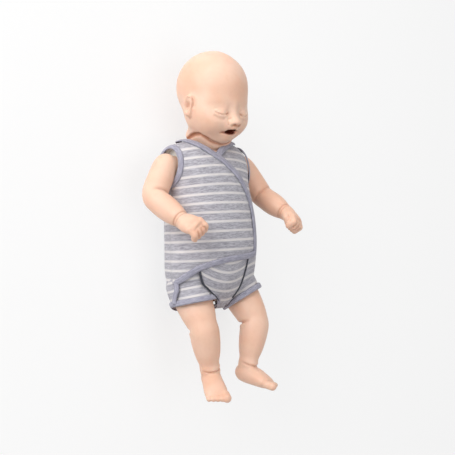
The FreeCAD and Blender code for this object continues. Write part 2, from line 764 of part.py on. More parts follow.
def make_hand(wrist, along, back, thumb_side):
    """a loose fist: palm, four curled fingers and the thumb across them"""
    along = unit(along)
    back = unit(back - along * back.dot(along))
    side = unit(thumb_side - along * thumb_side.dot(along) - back * thumb_side.dot(back))
    sections = [
        (0, 10.0, 0.9), (4, 14.5, 0.8), (11, 16.5, 0.7), (19, 17.0, 0.65), (27, 16.0, 0.62), (33, 10.0, 0.7),
    ]
    rows = [Joint(wrist + along * at - back, radius) for at, radius, share in sections]
    palm = limb(rows, side, [share for at, radius, share in sections])
    pieces = [palm]
    for i in range(4):
        root = wrist + along * 26 + side * (11.5 - 7.7 * i) + back * 1.5
        size = (5.6, 5.3, 4.8) if i < 3 else (5.0, 4.7, 4.3)
        pieces.append(finger(root, along * 0.75 - back * 0.7, -along * 0.35 - back * 0.95, (12, 10), size))
    root = wrist + along * 10 + side * 12 - back * 3
    first = along * 0.9 + side * 0.35 - back * 0.35
    second = along * 0.6 - side * 0.6 - back * 0.6
    pieces.append(finger(root, first, second, (14, 11), (6.5, 5.6, 4.8)))
    return pieces


def make_arm(wrist, along, back, thumb_side):
    """a left arm bent at the elbow, from its flat seat in the torso's side to a loose fist"""
    upper = unit(ELBOW - SHOULDER)
    lower = unit(wrist - ELBOW)
    joints = [
        Joint(SHOULDER - upper * 21, 6.0),
        Joint(SHOULDER - upper * 19, 12.0),
        Joint(SHOULDER - upper * 12, 17.5),
        Joint(SHOULDER, 20.5),
        Joint(between(SHOULDER, ELBOW, 0.35), 20.5),
        Joint(between(SHOULDER, ELBOW, 0.65), 20.5),
        Joint(ELBOW - upper * 7, 20.0),
        Joint(ELBOW + lower * 4, 19.0),
        Joint(ELBOW + lower * 12, 18.5),
        Joint(between(ELBOW, wrist, 0.45), 19.5),
        Joint(between(ELBOW, wrist, 0.7), 18.0),
        Joint(wrist - lower * 7, 15.0),
        Joint(wrist - lower * 3, 12.3),
        Joint(wrist, 13.2),
        Joint(wrist + lower * 6, 13.0),
        Joint(wrist + lower * 14, 11.0),
    ]
    neck = rod(Vector(ARM_SEAT, SHOULDER.y, SHOULDER.z), SHOULDER, SHOULDER_NECK)
    arm = limb(joints).fuse([neck] + make_hand(wrist, along, back, thumb_side))
    arm = arm.cut(block(-100, ARM_SEAT, -300, 300, -300, 300))
    y, z = SHOULDER.y, SHOULDER.z
    end = ARM_SEAT + ARM_STUB_DEPTH
    socket = rod(Vector(ARM_SEAT - 5, y, z), Vector(end, y, z), ARM_NECK_RADIUS + PIN_PLAY)
    return largest(arm.cut(socket))


def make_flange(centre, seat, stub, disc, depth, wall_from):
    """the collar that holds a limb in its wall: a stub with a wider disc behind the wall"""
    y, z = centre.y, centre.z
    post = rod(Vector(wall_from - FLANGE_THICKNESS, y, z), Vector(seat + depth, y, z), stub)
    plate = rod(Vector(wall_from - FIT - FLANGE_THICKNESS, y, z), Vector(wall_from - FIT, y, z), disc)
    hollow = rod(Vector(wall_from - 10, y, z), Vector(seat + depth - 2, y, z), stub - 4)
    return post.fuse(plate).cut(hollow)


def leg_joints(knee, ankle, extra=0.0):
    """the joints of a left leg, from its hip ball to its heel"""
    thigh = unit(knee - HIP)
    shin = unit(ankle - knee)
    sizes = [
        (HIP - thigh * 4, 29.0),
        (HIP + thigh * 10, 31.0),
        (between(HIP, knee, 0.35), 30.0),
        (between(HIP, knee, 0.62), 28.0),
        (knee - thigh * 12, 25.0),
        (knee - thigh * 5, 22.0),
        (knee + shin * 4, 23.5),
        (knee + shin * 14, 23.5),
        (between(knee, ankle, 0.42), 22.5),
        (between(knee, ankle, 0.66), 20.0),
        (ankle - shin * 14, 17.0),
        (ankle - shin * 8, 15.0),
        (ankle - shin * 2, 16.5),
        (ankle + shin * 10, 15.0),
    ]
    return [Joint(point, radius + extra) for point, radius in sizes]


def make_foot(ankle, toes, sole):
    """a left foot from its heel to its five toes"""
    along = unit(toes)
    down = unit(sole - along * sole.dot(along))
    side = down.cross(along)
    heel = ankle + down * 15 - along * 12
    sections = [
        (-4, 8.0, 0.95, 0), (1, 14.0, 1.0, 0), (10, 16.0, 1.0, 0), (24, 16.0, 0.95, 1),
        (38, 17.0, 0.8, 2.5), (50, 18.5, 0.6, 5), (58, 17.0, 0.5, 6), (62, 12.0, 0.45, 6.5),
    ]
    rows = [Joint(heel + along * at + down * drop, radius) for at, radius, share, drop in sections]
    pieces = [limb(rows, side, [share for at, radius, share, drop in sections])]
    for i in range(5):
        across = -13.5 + 6.6 * i
        size = 4.2 + 0.25 * i + (1.6 if i == 4 else 0)
        reach = 54 + 1.7 * i - (0.8 if i == 4 else 0)
        root = heel + along * reach + side * across + down * 6.5
        pieces.append(capsule(root, root + along * (9 + 0.5 * i), size * 0.95, size))
    return pieces


def make_leg(knee, ankle, toes):
    """a left leg bent at the knee, from its flat seat at the keel to its toes"""
    ball = Part.makeSphere(HIP_RADIUS, HIP)
    body = limb(leg_joints(knee, ankle))
    leg = body.fuse([ball] + make_foot(ankle, toes, ankle - knee))
    leg = leg.cut(block(-100, KEEL_HALF + LIMB_RUN, -400, 300, -300, 300))
    end = Vector(KEEL_HALF + LIMB_RUN + HIP_STUB_DEPTH, HIP.y, HIP.z)
    socket = rod(Vector(0, HIP.y, HIP.z), end, HIP_STUB + PIN_PLAY)
    return largest(leg.cut(socket))


# Suit

def suit_shell():
    """the suit's cloth over the torso, open where head and limbs come out"""
    shell = torso(0).cut(torso(CLOTH))
    room = both(arm_room(ARMHOLE_RADIUS, 40)) + leg_rooms() + [neck_room(1.0)]
    return shell.cut(room)


def band_shell():
    """the layer over the cloth that the bindings are cut from"""
    shell = torso(-BAND_LIFT - BINDING).cut(torso(-BAND_LIFT))
    room = leg_rooms() + [neck_room(1.0)]
    return shell.cut(room)


def smooth(points):
    """a smooth curve through points, or a straight line between two"""
    if len(points) == 2:
        return Part.makeLine(points[0], points[1])
    curve = Part.BSplineCurve()
    curve.interpolate(points)
    return curve.toShape()


def fence(paths, low, high):
    """an upright bar whose outline, seen from above, is smooth paths joined by straight runs"""
    level = [[Vector(p.x, p.y, low) for p in path] for path in paths]
    edges = []
    for path, following in zip(level, level[1:] + level[:1]):
        if len(path) > 1:
            edges.append(smooth(path))
        if (following[0] - path[-1]).Length > 1e-6:
            edges.append(smooth([path[-1], following[0]]))
    return Part.Face(Part.Wire(edges)).extrude(Vector(0, 0, high - low))


def ribbon(points, width):
    """an upright wall of one width along a path seen from above"""
    return fence([beside(points, width / 2), beside(points, -width / 2)[::-1]], 0, 200)


def beside(points, shift):
    """a path moved sideways, to its left if the shift is positive"""
    moved = []
    for i, p in enumerate(points):
        before = points[max(i - 1, 0)]
        after = points[min(i + 1, len(points) - 1)]
        along = unit(after - before)
        moved.append(p + Vector(-along.y, along.x, 0) * shift)
    return moved


def make_suit():
    """the suit's cloth panels and bindings, by name"""
    shell = suit_shell()
    front = shell.common(block(-FAR, FAR, -FAR, FAR, SEAM_Z, FAR))
    pieces = {"suit_back_panel": shell.common(block(-FAR, FAR, -FAR, FAR, -10, SEAM_Z))}
    far_right = [[Vector(-120, -112, 0)], [Vector(-120, 160, 0)], [Vector(-60, 160, 0)]]
    wrap = fence([WRAP_EDGE, WRAP_HEM] + far_right, 0, 200)
    far_left = [[Vector(60, 160, 0)], [Vector(120, 160, 0)], [Vector(120, -60, 0)]]
    under = fence([UNDER_NECK] + far_left + [[WRAP_HEM[1]]], 0, 200)
    below = [[Vector(-120, -160, 0)], [Vector(120, -160, 0)]]
    lower = fence([far_left[-1], WRAP_HEM] + below, 0, 200)
    pieces["wrap_front_panel"] = front.common(wrap)
    pieces["under_front_panel"] = front.common(under).cut([wrap, lower])
    pieces["crotch_panel"] = front.common(lower)
    band = band_shell()
    above = band.common(block(-FAR, FAR, -FAR, FAR, SEAM_Z, FAR))
    half = BINDING_WIDTH / 2
    pieces["neckline_binding"] = above.common(ribbon(beside(WRAP_EDGE, -half), BINDING_WIDTH))
    under_path = ribbon(beside(UNDER_NECK, -half), BINDING_WIDTH)
    keep_clear = ribbon(beside(WRAP_EDGE, -half), BINDING_WIDTH + FIT)
    pieces["under_neckline_binding"] = above.common(under_path).cut(keep_clear)
    hem = ribbon(beside(WRAP_HEM, -half), BINDING_WIDTH)
    pieces["wrap_hem_binding"] = above.common(hem).cut(keep_clear)
    back = band.common(block(-FAR, FAR, COLLAR_Y - HEM_WIDTH, FAR, BACK_CLEAR, SEAM_Z))
    pieces["back_neckline_binding"] = back
    ring = arm_room(ARMHOLE_RADIUS + BINDING_WIDTH, 46).cut(arm_room(ARMHOLE_RADIUS + BINDING_BACK, 30))
    below_collar = block(-FAR, FAR, -FAR, COLLAR_Y - HEM_WIDTH - FIT, BACK_CLEAR, FAR)
    for side, hole in (("left", ring), ("right", mirrored(ring))):
        pieces["armhole_binding_" + side] = band.common(hole).common(below_collar).cut(keep_clear)
    return {name: largest(piece) for name, piece in pieces.items()}


def leg_cloth(knee, ankle, extra):
    """the leg's outline under or over its cloth"""
    return limb(leg_joints(knee, ankle, extra)).fuse(Part.makeSphere(HIP_RADIUS + extra, HIP))


def make_leg_cloth(knee, ankle):
    """a left leg tube of cloth and the plain cuff round its end"""
    thigh = unit(knee - HIP)
    hem = between(HIP, knee, HEM_SHARE)
    outer = leg_cloth(knee, ankle, BODY)
    inner = leg_cloth(knee, ankle, CLOTH_GAP)
    keep_side = block(KEEL_HALF + LIMB_RUN, 300, -300, 0, -100, 300)
    reach = rod(hem, hem - thigh * 90, 70)
    stub = rod(Vector(0, HIP.y, HIP.z), HIP, HIP_STUB + LIMB_RUN)
    tube = outer.cut(inner).common(reach).common(keep_side).cut(stub)
    over = leg_cloth(knee, ankle, BODY + BAND_LIFT + BINDING)
    cuff_zone = rod(hem, hem - thigh * HEM_WIDTH, 70)
    cuff = over.cut(leg_cloth(knee, ankle, BODY + BAND_LIFT)).common(cuff_zone).common(keep_side)
    return largest(tube), largest(cuff)


NODES = {}


def keep(name, shape):
    """stores a finished piece under its name"""
    if shape.ShapeType == "Compound" and len(shape.Solids) == 1:
        shape = shape.Solids[0]
    NODES[name] = shape


def main():
    """builds every piece and writes it to its own file"""
    keep("head_skin", largest(make_head()))
    keep("skull_shell", make_skull())
    keep("mouth_funnel", make_mouth_funnel())
    keep("airway_tube", make_airway_tube())
    keep("neck_pin", make_neck_pin())
    keep("back_shell", make_back_shell())
    keep("chest_skin", make_chest_skin())
    keep("chest_plate", make_chest_plate())
    keep("lung_bag", make_lung_bag())
    keep("base_plate", make_base_plate())
    keep("base_screws", make_base_screws())
    keep("compression_spring", make_spring())
    keep("battery_tray", make_battery_tray())
    keep("batteries", make_batteries())
    keep("battery_lid", make_battery_lid())
    keep("circuit_board", make_circuit_board())
    keep("arm_left", make_arm(WRIST_LEFT, HAND_LEFT, ARM_BACK, ARM_THUMB))
    keep("arm_right", mirrored(make_arm(flipped(WRIST_RIGHT), flipped(HAND_RIGHT), ARM_BACK, ARM_THUMB)))
    wall = ARM_SEAT - LIMB_RUN - WALL
    flange = make_flange(SHOULDER, ARM_SEAT, ARM_NECK_RADIUS, ARM_DISC, ARM_STUB_DEPTH, wall)
    keep("arm_flange_left", flange)
    keep("arm_flange_right", mirrored(flange))
    keep("leg_left", make_leg(KNEE_LEFT, ANKLE_LEFT, TOES_LEFT))
    keep("leg_right", mirrored(make_leg(flipped(KNEE_RIGHT), flipped(ANKLE_RIGHT), flipped(TOES_RIGHT))))
    seat = KEEL_HALF + LIMB_RUN
    flange = make_flange(HIP, seat, HIP_STUB, HIP_DISC, HIP_STUB_DEPTH, KEEL_HALF - WALL)
    keep("leg_flange_left", flange)
    keep("leg_flange_right", mirrored(flange))
    for name, piece in make_suit().items():
        keep(name, piece)
    tube, cuff = make_leg_cloth(KNEE_LEFT, ANKLE_LEFT)
    keep("leg_tube_left", tube)
    keep("leg_cuff_left", cuff)
    tube, cuff = make_leg_cloth(flipped(KNEE_RIGHT), flipped(ANKLE_RIGHT))
    keep("leg_tube_right", mirrored(tube))
    keep("leg_cuff_right", mirrored(cuff))
    os.makedirs("parts", exist_ok=True)
    for name, shape in NODES.items():
        shape.exportStep("parts/" + name + ".step")


main()
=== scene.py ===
import logging
import math
from dataclasses import dataclass, field
from enum import Enum
from typing import Callable, Iterable, Sequence

import bmesh
import bpy
import numpy as np
from mathutils import Matrix, Vector
from mathutils.bvhtree import BVHTree


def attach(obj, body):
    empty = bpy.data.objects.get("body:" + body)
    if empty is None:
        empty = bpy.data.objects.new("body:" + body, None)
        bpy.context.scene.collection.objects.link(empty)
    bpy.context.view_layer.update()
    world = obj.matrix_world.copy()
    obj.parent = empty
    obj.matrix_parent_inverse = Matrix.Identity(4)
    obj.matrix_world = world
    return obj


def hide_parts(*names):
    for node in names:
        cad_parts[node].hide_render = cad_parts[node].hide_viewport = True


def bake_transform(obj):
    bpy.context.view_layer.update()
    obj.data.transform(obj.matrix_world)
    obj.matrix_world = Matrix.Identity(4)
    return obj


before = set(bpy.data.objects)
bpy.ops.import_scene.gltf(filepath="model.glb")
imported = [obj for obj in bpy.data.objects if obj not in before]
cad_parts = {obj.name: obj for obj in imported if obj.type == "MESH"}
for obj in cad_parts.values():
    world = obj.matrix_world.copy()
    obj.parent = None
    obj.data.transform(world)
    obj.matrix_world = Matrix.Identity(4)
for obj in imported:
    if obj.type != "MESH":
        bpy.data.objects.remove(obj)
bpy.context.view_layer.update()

# An infant training manikin that lies on its back in a wrap-front suit.
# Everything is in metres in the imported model's own frame: X to the manikin's left, Y to its crown, Z up.

MM = 0.001
LOG = logging.getLogger("manikin")


class Body(Enum):
    """The rigid bodies that pieces ride on."""

    TORSO = "torso"
    CHEST = "chest"
    HEAD = "head"
    ARM_LEFT = "arm_left"
    ARM_RIGHT = "arm_right"
    LEG_LEFT = "leg_left"
    LEG_RIGHT = "leg_right"


class Side(Enum):
    """The manikin's own left and right."""

    LEFT = 1.0
    RIGHT = -1.0

    @property
    def label(self) -> str:
        """The side's name as the nodes write it."""
        return self.name.lower()


def mm(x: float, y: float, z: float = 0.0) -> Vector:
    """A point given in millimetres."""
    return Vector((x, y, z)) * MM


# Where the photograph was taken from, which the leg openings are lined up with
VIEWPOINT = mm(-684, -14, 983)

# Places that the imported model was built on
NECK_HINGE = mm(0, 117, 56)
HEAD_CENTRE = mm(0, 198, 86)
HEAD_PITCH = math.radians(17)
SHOULDER = mm(80, 86, 57)
ELBOW = mm(111, 38, 66)
WRISTS = {Side.LEFT: mm(114, 7, 121), Side.RIGHT: mm(-97, 0, 122)}
HANDS = {Side.LEFT: mm(0.05, -0.5, 0.86), Side.RIGHT: mm(0.27, -0.36, 0.9)}
HIP = mm(47, -106, 57)
KNEES = {Side.LEFT: mm(56, -170, 100), Side.RIGHT: mm(-49, -168, 99)}
ANKLES = {Side.LEFT: mm(38, -238, 97), Side.RIGHT: mm(-38, -235, 95)}

# The striped jersey's repeat, in millimetres
STRIPE_PITCH = 14.87


def hip_of(side: Side) -> Vector:
    """The hip joint on one side."""
    return Vector((side.value * HIP.x, HIP.y, HIP.z))


def thigh_of(side: Side) -> Vector:
    """The direction from one hip to its knee."""
    return (KNEES[side] - hip_of(side)).normalized()


# Shader building


class Socket:
    """A node's output that takes part in arithmetic: each operator adds a Math node."""

    def __init__(self, graph: "Graph", out: bpy.types.NodeSocket) -> None:
        """Wraps an output.

        Args:
            graph: the graph that the output belongs to.
            out: the output itself.
        """
        self.graph = graph
        self.out = out

    def _math(self, operation: str, *values: "Socket | float") -> "Socket":
        """Adds one Math node.

        Args:
            operation: the Math node's operation.
            values: its inputs in order.

        Returns:
            The node's result.
        """
        return self.graph.node("ShaderNodeMath", {"operation": operation}, dict(enumerate(values)))

    def __add__(self, other: "Socket | float") -> "Socket":
        """Sum."""
        return self._math("ADD", self, other)

    def __sub__(self, other: "Socket | float") -> "Socket":
        """Difference."""
        return self._math("SUBTRACT", self, other)

    def __rsub__(self, other: float) -> "Socket":
        """Difference from a number."""
        return self._math("SUBTRACT", other, self)

    def __mul__(self, other: "Socket | float") -> "Socket":
        """Product."""
        return self._math("MULTIPLY", self, other)

    def __truediv__(self, other: "Socket | float") -> "Socket":
        """Quotient."""
        return self._math("DIVIDE", self, other)

    __radd__ = __add__
    __rmul__ = __mul__

    def fraction(self) -> "Socket":
        """The part after the decimal point."""
        return self._math("FRACT", self)

    def size(self) -> "Socket":
        """The absolute value."""
        return self._math("ABSOLUTE", self)

    def sine(self) -> "Socket":
        """The sine of the value in radians."""
        return self._math("SINE", self)

    def clamp(self) -> "Socket":
        """The value kept between 0 and 1."""
        return self.graph.node("ShaderNodeClamp", {}, {0: self})

    def rise(self, low: float, high: float) -> "Socket":
        """A smooth step from 0 to 1.

        Args:
            low: where it starts.
            high: where it ends.

        Returns:
            The stepped value.
        """
        ranged = {"interpolation_type": "SMOOTHSTEP"}
        return self.graph.node("ShaderNodeMapRange", ranged, {0: self, 1: low, 2: high, 3: 0.0, 4: 1.0})


class Graph:
    """A material's node tree with a Principled shader."""

    def __init__(self, name: str) -> None:
        """Makes the material.

        Args:
            name: the material's name.
        """
        self.material = bpy.data.materials.new(name)
        self.material.use_nodes = True
        self.tree = self.material.node_tree
        self.shader = next(n for n in self.tree.nodes if n.type == "BSDF_PRINCIPLED")

    @classmethod
    def of(cls, tree: bpy.types.NodeTree) -> "Graph":
        """Wraps a node tree that exists."""
        graph = cls.__new__(cls)
        graph.tree = tree
        return graph

    def node(self, kind: str, settings: dict, inputs: dict, output: int | str = 0) -> Socket:
        """Adds a node.

        Args:
            kind: the node's type.
            settings: its properties, set before its inputs.
            inputs: values or sockets by the input's name or place.
            output: the wanted output's name or place.

        Returns:
            The wanted output.
        """
        made = self.tree.nodes.new(kind)
        for key, value in settings.items():
            if key == "stops":
                self._stops(made.color_ramp, value)
            else:
                setattr(made, key, value)
        for key, value in inputs.items():
            if isinstance(value, Socket):
                self.tree.links.new(value.out, made.inputs[key])
            else:
                made.inputs[key].default_value = value
        return Socket(self, made.outputs[output])

    @staticmethod
    def _stops(ramp: bpy.types.ColorRamp, stops: Sequence[tuple]) -> None:
        """Sets a colour ramp's stops.

        Args:
            ramp: the ramp.
            stops: (position, grey) pairs in order.
        """
        while len(ramp.elements) < len(stops):
            ramp.elements.new(0.5)
        for element, (place, grey) in zip(ramp.elements, stops):
            element.position = place
            element.color = (grey, grey, grey, 1)

    def place(self) -> Socket:
        """Object coordinates."""
        return self.node("ShaderNodeTexCoord", {}, {}, "Object")

    def attribute(self, name: str) -> Socket:
        """A value painted on the mesh."""
        return self.node("ShaderNodeAttribute", {"attribute_name": name}, {}, "Fac")

    def cloth_axis(self, axis: str) -> Socket:
        """A coordinate of the cloth's own map, in metres."""
        across = self.node("ShaderNodeUVMap", {"uv_map": "cloth"}, {}, "UV")
        return self.node("ShaderNodeSeparateXYZ", {}, {0: across}, axis)

    def noise(self, where: Socket, scale: float, detail: float = 3.0, rough: float = 0.55) -> Socket:
        """Noise.

        Args:
            where: the coordinates that it reads.
            scale: how fine it is.
            detail: how many finer layers it has.
            rough: how strong these are.

        Returns:
            A value near 0.5.
        """
        inputs = {"Vector": where, "Scale": scale, "Detail": detail, "Roughness": rough}
        return self.node("ShaderNodeTexNoise", {"noise_dimensions": "3D"}, inputs, "Fac")

    def mix(self, share: "Socket | float", first: "Socket | tuple", second: "Socket | tuple") -> Socket:
        """Mixes two colours.

        Args:
            share: how much of the second.
            first: a colour.
            second: another.

        Returns:
            The mixed colour.
        """
        made = self.tree.nodes.new("ShaderNodeMix")
        made.data_type = "RGBA"
        for place, value in ((0, share), (6, first), (7, second)):
            self._set(made.inputs[place], value)
        return Socket(self, made.outputs[2])

    def _set(self, socket: bpy.types.NodeSocket, value: "Socket | tuple | float") -> None:
        """Links an input, or gives it a colour or a number."""
        if isinstance(value, Socket):
            self.tree.links.new(value.out, socket)
        else:
            socket.default_value = (*value, 1) if isinstance(value, tuple) else value

    def feed(self, name: str, value: "Socket | tuple | float") -> None:
        """Sets or links one of the shader's inputs.

        Args:
            name: the input's name.
            value: what it gets.
        """
        self._set(self.shader.inputs[name], value)

    def bump(self, height: Socket, depth: float) -> None:
        """Raises the surface by a height.

        Args:
            height: from 0 to 1.
            depth: how far 1 stands up, in metres.
        """
        self.feed("Normal", self.node("ShaderNodeBump", {}, {"Strength": 1.0, "Distance": depth, "Height": height}))


@dataclass(frozen=True)
class Vinyl:
    """Soft semi-matt vinyl skin, with painted shade, warmer and darker, in its creases and inside its mouth."""

    base: tuple = (0.80, 0.485, 0.345)
    pale: tuple = (0.84, 0.565, 0.43)
    # colour of the random flecks and of the painted crease shade
    fleck_and_crease_shade: tuple = (0.42, 0.15, 0.07)
    # painted shade colour for the mouth's inside
    inside: tuple = (0.30, 0.06, 0.035)
    roughness: float = 0.42

    def material(self) -> bpy.types.Material:
        """Makes the material."""
        g = Graph("skin_vinyl")
        where = g.place()
        cloud = g.noise(where, 14.0, 2.0)
        tone = g.mix(cloud.rise(0.35, 0.65), self.base, self.pale)
        mottled = g.mix(g.noise(where, 160.0, 4.0).rise(0.45, 0.8) * 0.07, tone, self.fleck_and_crease_shade)
        # painted shade: the crease values darken creases, slits and hollows towards that colour
        crease_shaded = g.mix(g.attribute("crease").clamp() * 0.85, mottled, self.fleck_and_crease_shade)
        # painted shade: the mouth values darken the mouth's inside
        g.feed("Base Color", g.mix(g.attribute("mouth").clamp(), crease_shaded, self.inside))
        pores = g.noise(where, 900.0, 2.0)
        g.feed("Roughness", cloud * 0.08 + (self.roughness - 0.03) + pores * 0.05)
        g.feed("Specular IOR Level", 0.5)
        g.feed("Subsurface Weight", 0.12)
        g.feed("Subsurface Radius", Vector((0.004, 0.0015, 0.0008)))
        g.feed("Subsurface Scale", 1.0)
        g.bump(pores * 0.5 + g.noise(where, 220.0, 3.0) * 0.5, 0.00012)
        return g.material


@dataclass(frozen=True)
class Jersey:
    """Heather single jersey, with off-white stripes that follow the cloth's own map and painted shade in the knit's
    hollows.
    """

    name: str
    dark: tuple = (0.30, 0.29, 0.335)
    light: tuple = (0.62, 0.605, 0.655)
    stripe: tuple = (0.84, 0.80, 0.78)
    pitch: float = STRIPE_PITCH * MM
    stripe_width: float = 3.9 * MM
    striped: bool = True
    wale: float = 1.1 * MM
    course: float = 0.8 * MM

    def material(self) -> bpy.types.Material:
        """Makes the material."""
        g = Graph(self.name)
        along, across = g.cloth_axis("Y"), g.cloth_axis("X")
        flat = g.node("ShaderNodeCombineXYZ", {}, {0: across * 160.0, 1: along * 1500.0})
        slub = g.node("ShaderNodeCombineXYZ", {}, {0: across * 60.0, 1: along * 420.0})
        fleck = g.noise(flat, 1.0, 3.0, 0.6)
        streak = g.noise(slub, 1.0, 3.0, 0.6)
        heather = (fleck * 0.55 + streak * 0.45).rise(0.38, 0.62)
        yarn = g.mix(heather, self.dark, self.light)
        if self.striped:
            wander = (g.noise(slub, 0.35, 2.0) - 0.5) * 0.10
            centred = ((along / self.pitch + wander).fraction() - 0.5).size()
            half = self.stripe_width / self.pitch / 2
            band = 1.0 - centred.rise(half * 0.55, half * 1.45)
            pale = g.mix(streak.rise(0.35, 0.7) * 0.45, self.stripe, self.light)
            yarn = g.mix(band, yarn, pale)
        rows = (along * (2 * math.pi / self.course)).sine()
        columns = (across * (2 * math.pi / self.wale)).sine()
        knit = rows * 0.2 + columns * 0.3 + 0.5
        # painted shade: the knit's low rows and columns are darkened towards the dark yarn colour
        g.feed("Base Color", g.mix((1.0 - knit) * 0.22, yarn, self.dark))
        g.feed("Roughness", 0.86 + fleck * 0.1)
        g.feed("Specular IOR Level", 0.2)
        g.feed("Sheen Weight", 0.25)
        g.feed("Sheen Roughness", 0.5)
        g.bump(knit * 0.75 + streak * 0.25, 0.00035)
        return g.material


@dataclass(frozen=True)
class Thread:
    """Twisted sewing thread."""

    name: str
    colour: tuple

    def material(self) -> bpy.types.Material:
        """Makes the material."""
        g = Graph(self.name)
        where = g.place()
        twist = g.noise(where, 2600.0, 2.0)
        g.feed("Base Color", g.mix(twist * 0.4, self.colour, tuple(c * 0.5 for c in self.colour)))
        g.feed("Roughness", 0.55 + twist * 0.2)
        g.bump(twist, 0.0001)
        return g.material


@dataclass(frozen=True)
class Moulded:
    """Moulded plastic with a fine spark-eroded grain."""

    name: str
    colour: tuple
    roughness: float = 0.45
    grain: float = 0.00006

    def material(self) -> bpy.types.Material:
        """Makes the material."""
        g = Graph(self.name)
        where = g.place()
        fine = g.noise(where, 1400.0, 2.0)
        broad = g.noise(where, 24.0, 3.0)
        darker = tuple(c * 0.82 for c in self.colour)
        g.feed("Base Color", g.mix(broad.rise(0.35, 0.7) * 0.6, self.colour, darker))
        g.feed("Roughness", fine * 0.12 + self.roughness + broad * 0.08)
        g.bump(fine, self.grain)
        return g.material


@dataclass(frozen=True)
class DrawnSteel:
    """Drawn or turned steel with fine scratches."""

    name: str
    colour: tuple = (0.55, 0.55, 0.57)
    roughness: float = 0.3

    def material(self) -> bpy.types.Material:
        """Makes the material."""
        g = Graph(self.name)
        where = g.place()
        scratch = g.noise(where, 900.0, 4.0, 0.7)
        stain_and_painted_shade = g.noise(where, 30.0, 3.0)
        g.feed("Base Color", g.mix(stain_and_painted_shade.rise(0.4, 0.8) * 0.5, self.colour, tuple(c * 0.7 for c in self.colour)))
        g.feed("Metallic", 1.0)
        g.feed("Roughness", scratch * 0.2 + self.roughness)
        g.bump(scratch, 0.00003)
        return g.material


# Modelling helpers


class Bench:
    """The steps of hand modelling, each with only its own object selected."""

    @staticmethod
    def pick(*objects: bpy.types.Object) -> None:
        """Selects these objects alone and makes the first one active."""
        for other in bpy.context.selected_objects:
            other.select_set(False)
        for obj in objects:
            obj.select_set(True)
        bpy.context.view_layer.objects.active = objects[0]

    @staticmethod
    def copy_node(node: str, name: str) -> bpy.types.Object:
        """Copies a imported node's mesh, with its doubles merged.

        Args:
            node: the node.
            name: the new object's name.

        Returns:
            The copy.
        """
        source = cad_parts[node]
        mesh = source.data.copy()
        obj = bpy.data.objects.new(name, mesh)
        bpy.context.scene.collection.objects.link(obj)
        mesh.materials.clear()
        Bench.pick(obj)
        bpy.ops.object.mode_set(mode="EDIT")
        bpy.ops.mesh.select_all(action="SELECT")
        bpy.ops.mesh.remove_doubles(threshold=1e-6)
        bpy.ops.object.mode_set(mode="OBJECT")
        return obj

    @staticmethod
    def join(name: str, *objects: bpy.types.Object) -> bpy.types.Object:
        """Joins objects into the first one.

        Args:
            name: the joined object's name.
            objects: what is joined.

        Returns:
            The joined object.
        """
        Bench.pick(*objects)
        bpy.ops.object.transform_apply(location=True, rotation=True, scale=True)
        bpy.ops.object.join()
        joined = bpy.context.view_layer.objects.active
        joined.name = name
        return joined

    @staticmethod
    def modify(obj: bpy.types.Object, kind: str, **settings: object) -> None:
        """Adds a modifier and applies it.

        Args:
            obj: the object.
            kind: the modifier's type.
            settings: its properties.
        """
        Bench.pick(obj)
        made = obj.modifiers.new(kind.lower(), kind)
        for key, value in settings.items():
            setattr(made, key, value)
        bpy.ops.object.modifier_apply(modifier=made.name)

    @staticmethod
    def remesh(obj: bpy.types.Object, voxel: float, smooth: int) -> None:
        """Rebuilds the mesh as an even skin.

        Args:
            obj: the object.
            voxel: the size of its faces.
            smooth: how many times it is evened out afterwards.
        """
        Bench.modify(obj, "REMESH", mode="VOXEL", voxel_size=voxel, adaptivity=0.0)
        Bench.modify(obj, "SMOOTH", factor=0.5, iterations=smooth)

    @staticmethod
    def refine(obj: bpy.types.Object, keep: Callable[[np.ndarray], np.ndarray]) -> None:
        """Divides the faces of one region once.

        Args:
            obj: the object.
            keep: says which of the given points lie in the region.
        """
        centres = np.empty(len(obj.data.polygons) * 3)
        obj.data.polygons.foreach_get("center", centres)
        inside = keep(centres.reshape(-1, 3))
        Bench.pick(obj)
        bpy.ops.object.mode_set(mode="EDIT")
        bpy.ops.mesh.select_mode(type="FACE")
        bpy.ops.mesh.select_all(action="DESELECT")
        bpy.ops.object.mode_set(mode="OBJECT")
        obj.data.polygons.foreach_set("select", inside)
        bpy.ops.object.mode_set(mode="EDIT")
        bpy.ops.mesh.subdivide(number_cuts=1, smoothness=0.0)
        bpy.ops.object.mode_set(mode="OBJECT")

    @staticmethod
    def finish(obj: bpy.types.Object, material: bpy.types.Material) -> None:
        """Smooths the shading and gives the piece its one material.

        Args:
            obj: the piece.
            material: its material.
        """
        obj.data.materials.clear()
        obj.data.materials.append(material)
        obj.data.polygons.foreach_set("use_smooth", [True] * len(obj.data.polygons))
        obj.data.polygons.foreach_set("material_index", [0] * len(obj.data.polygons))
        obj.data.update()

    @staticmethod
    def mesh(name: str, points: Sequence, faces: Sequence) -> bpy.types.Object:
        """Makes a soft piece's mesh from its grid.

        Args:
            name: the object's name.
            points: its vertices.
            faces: its faces, as vertex numbers.

        Returns:
            The object.
        """
        data = bpy.data.meshes.new(name)
        data.from_pydata([tuple(p) for p in points], [], faces)
        data.update()
        obj = bpy.data.objects.new(name, data)
        bpy.context.scene.collection.objects.link(obj)
        return obj


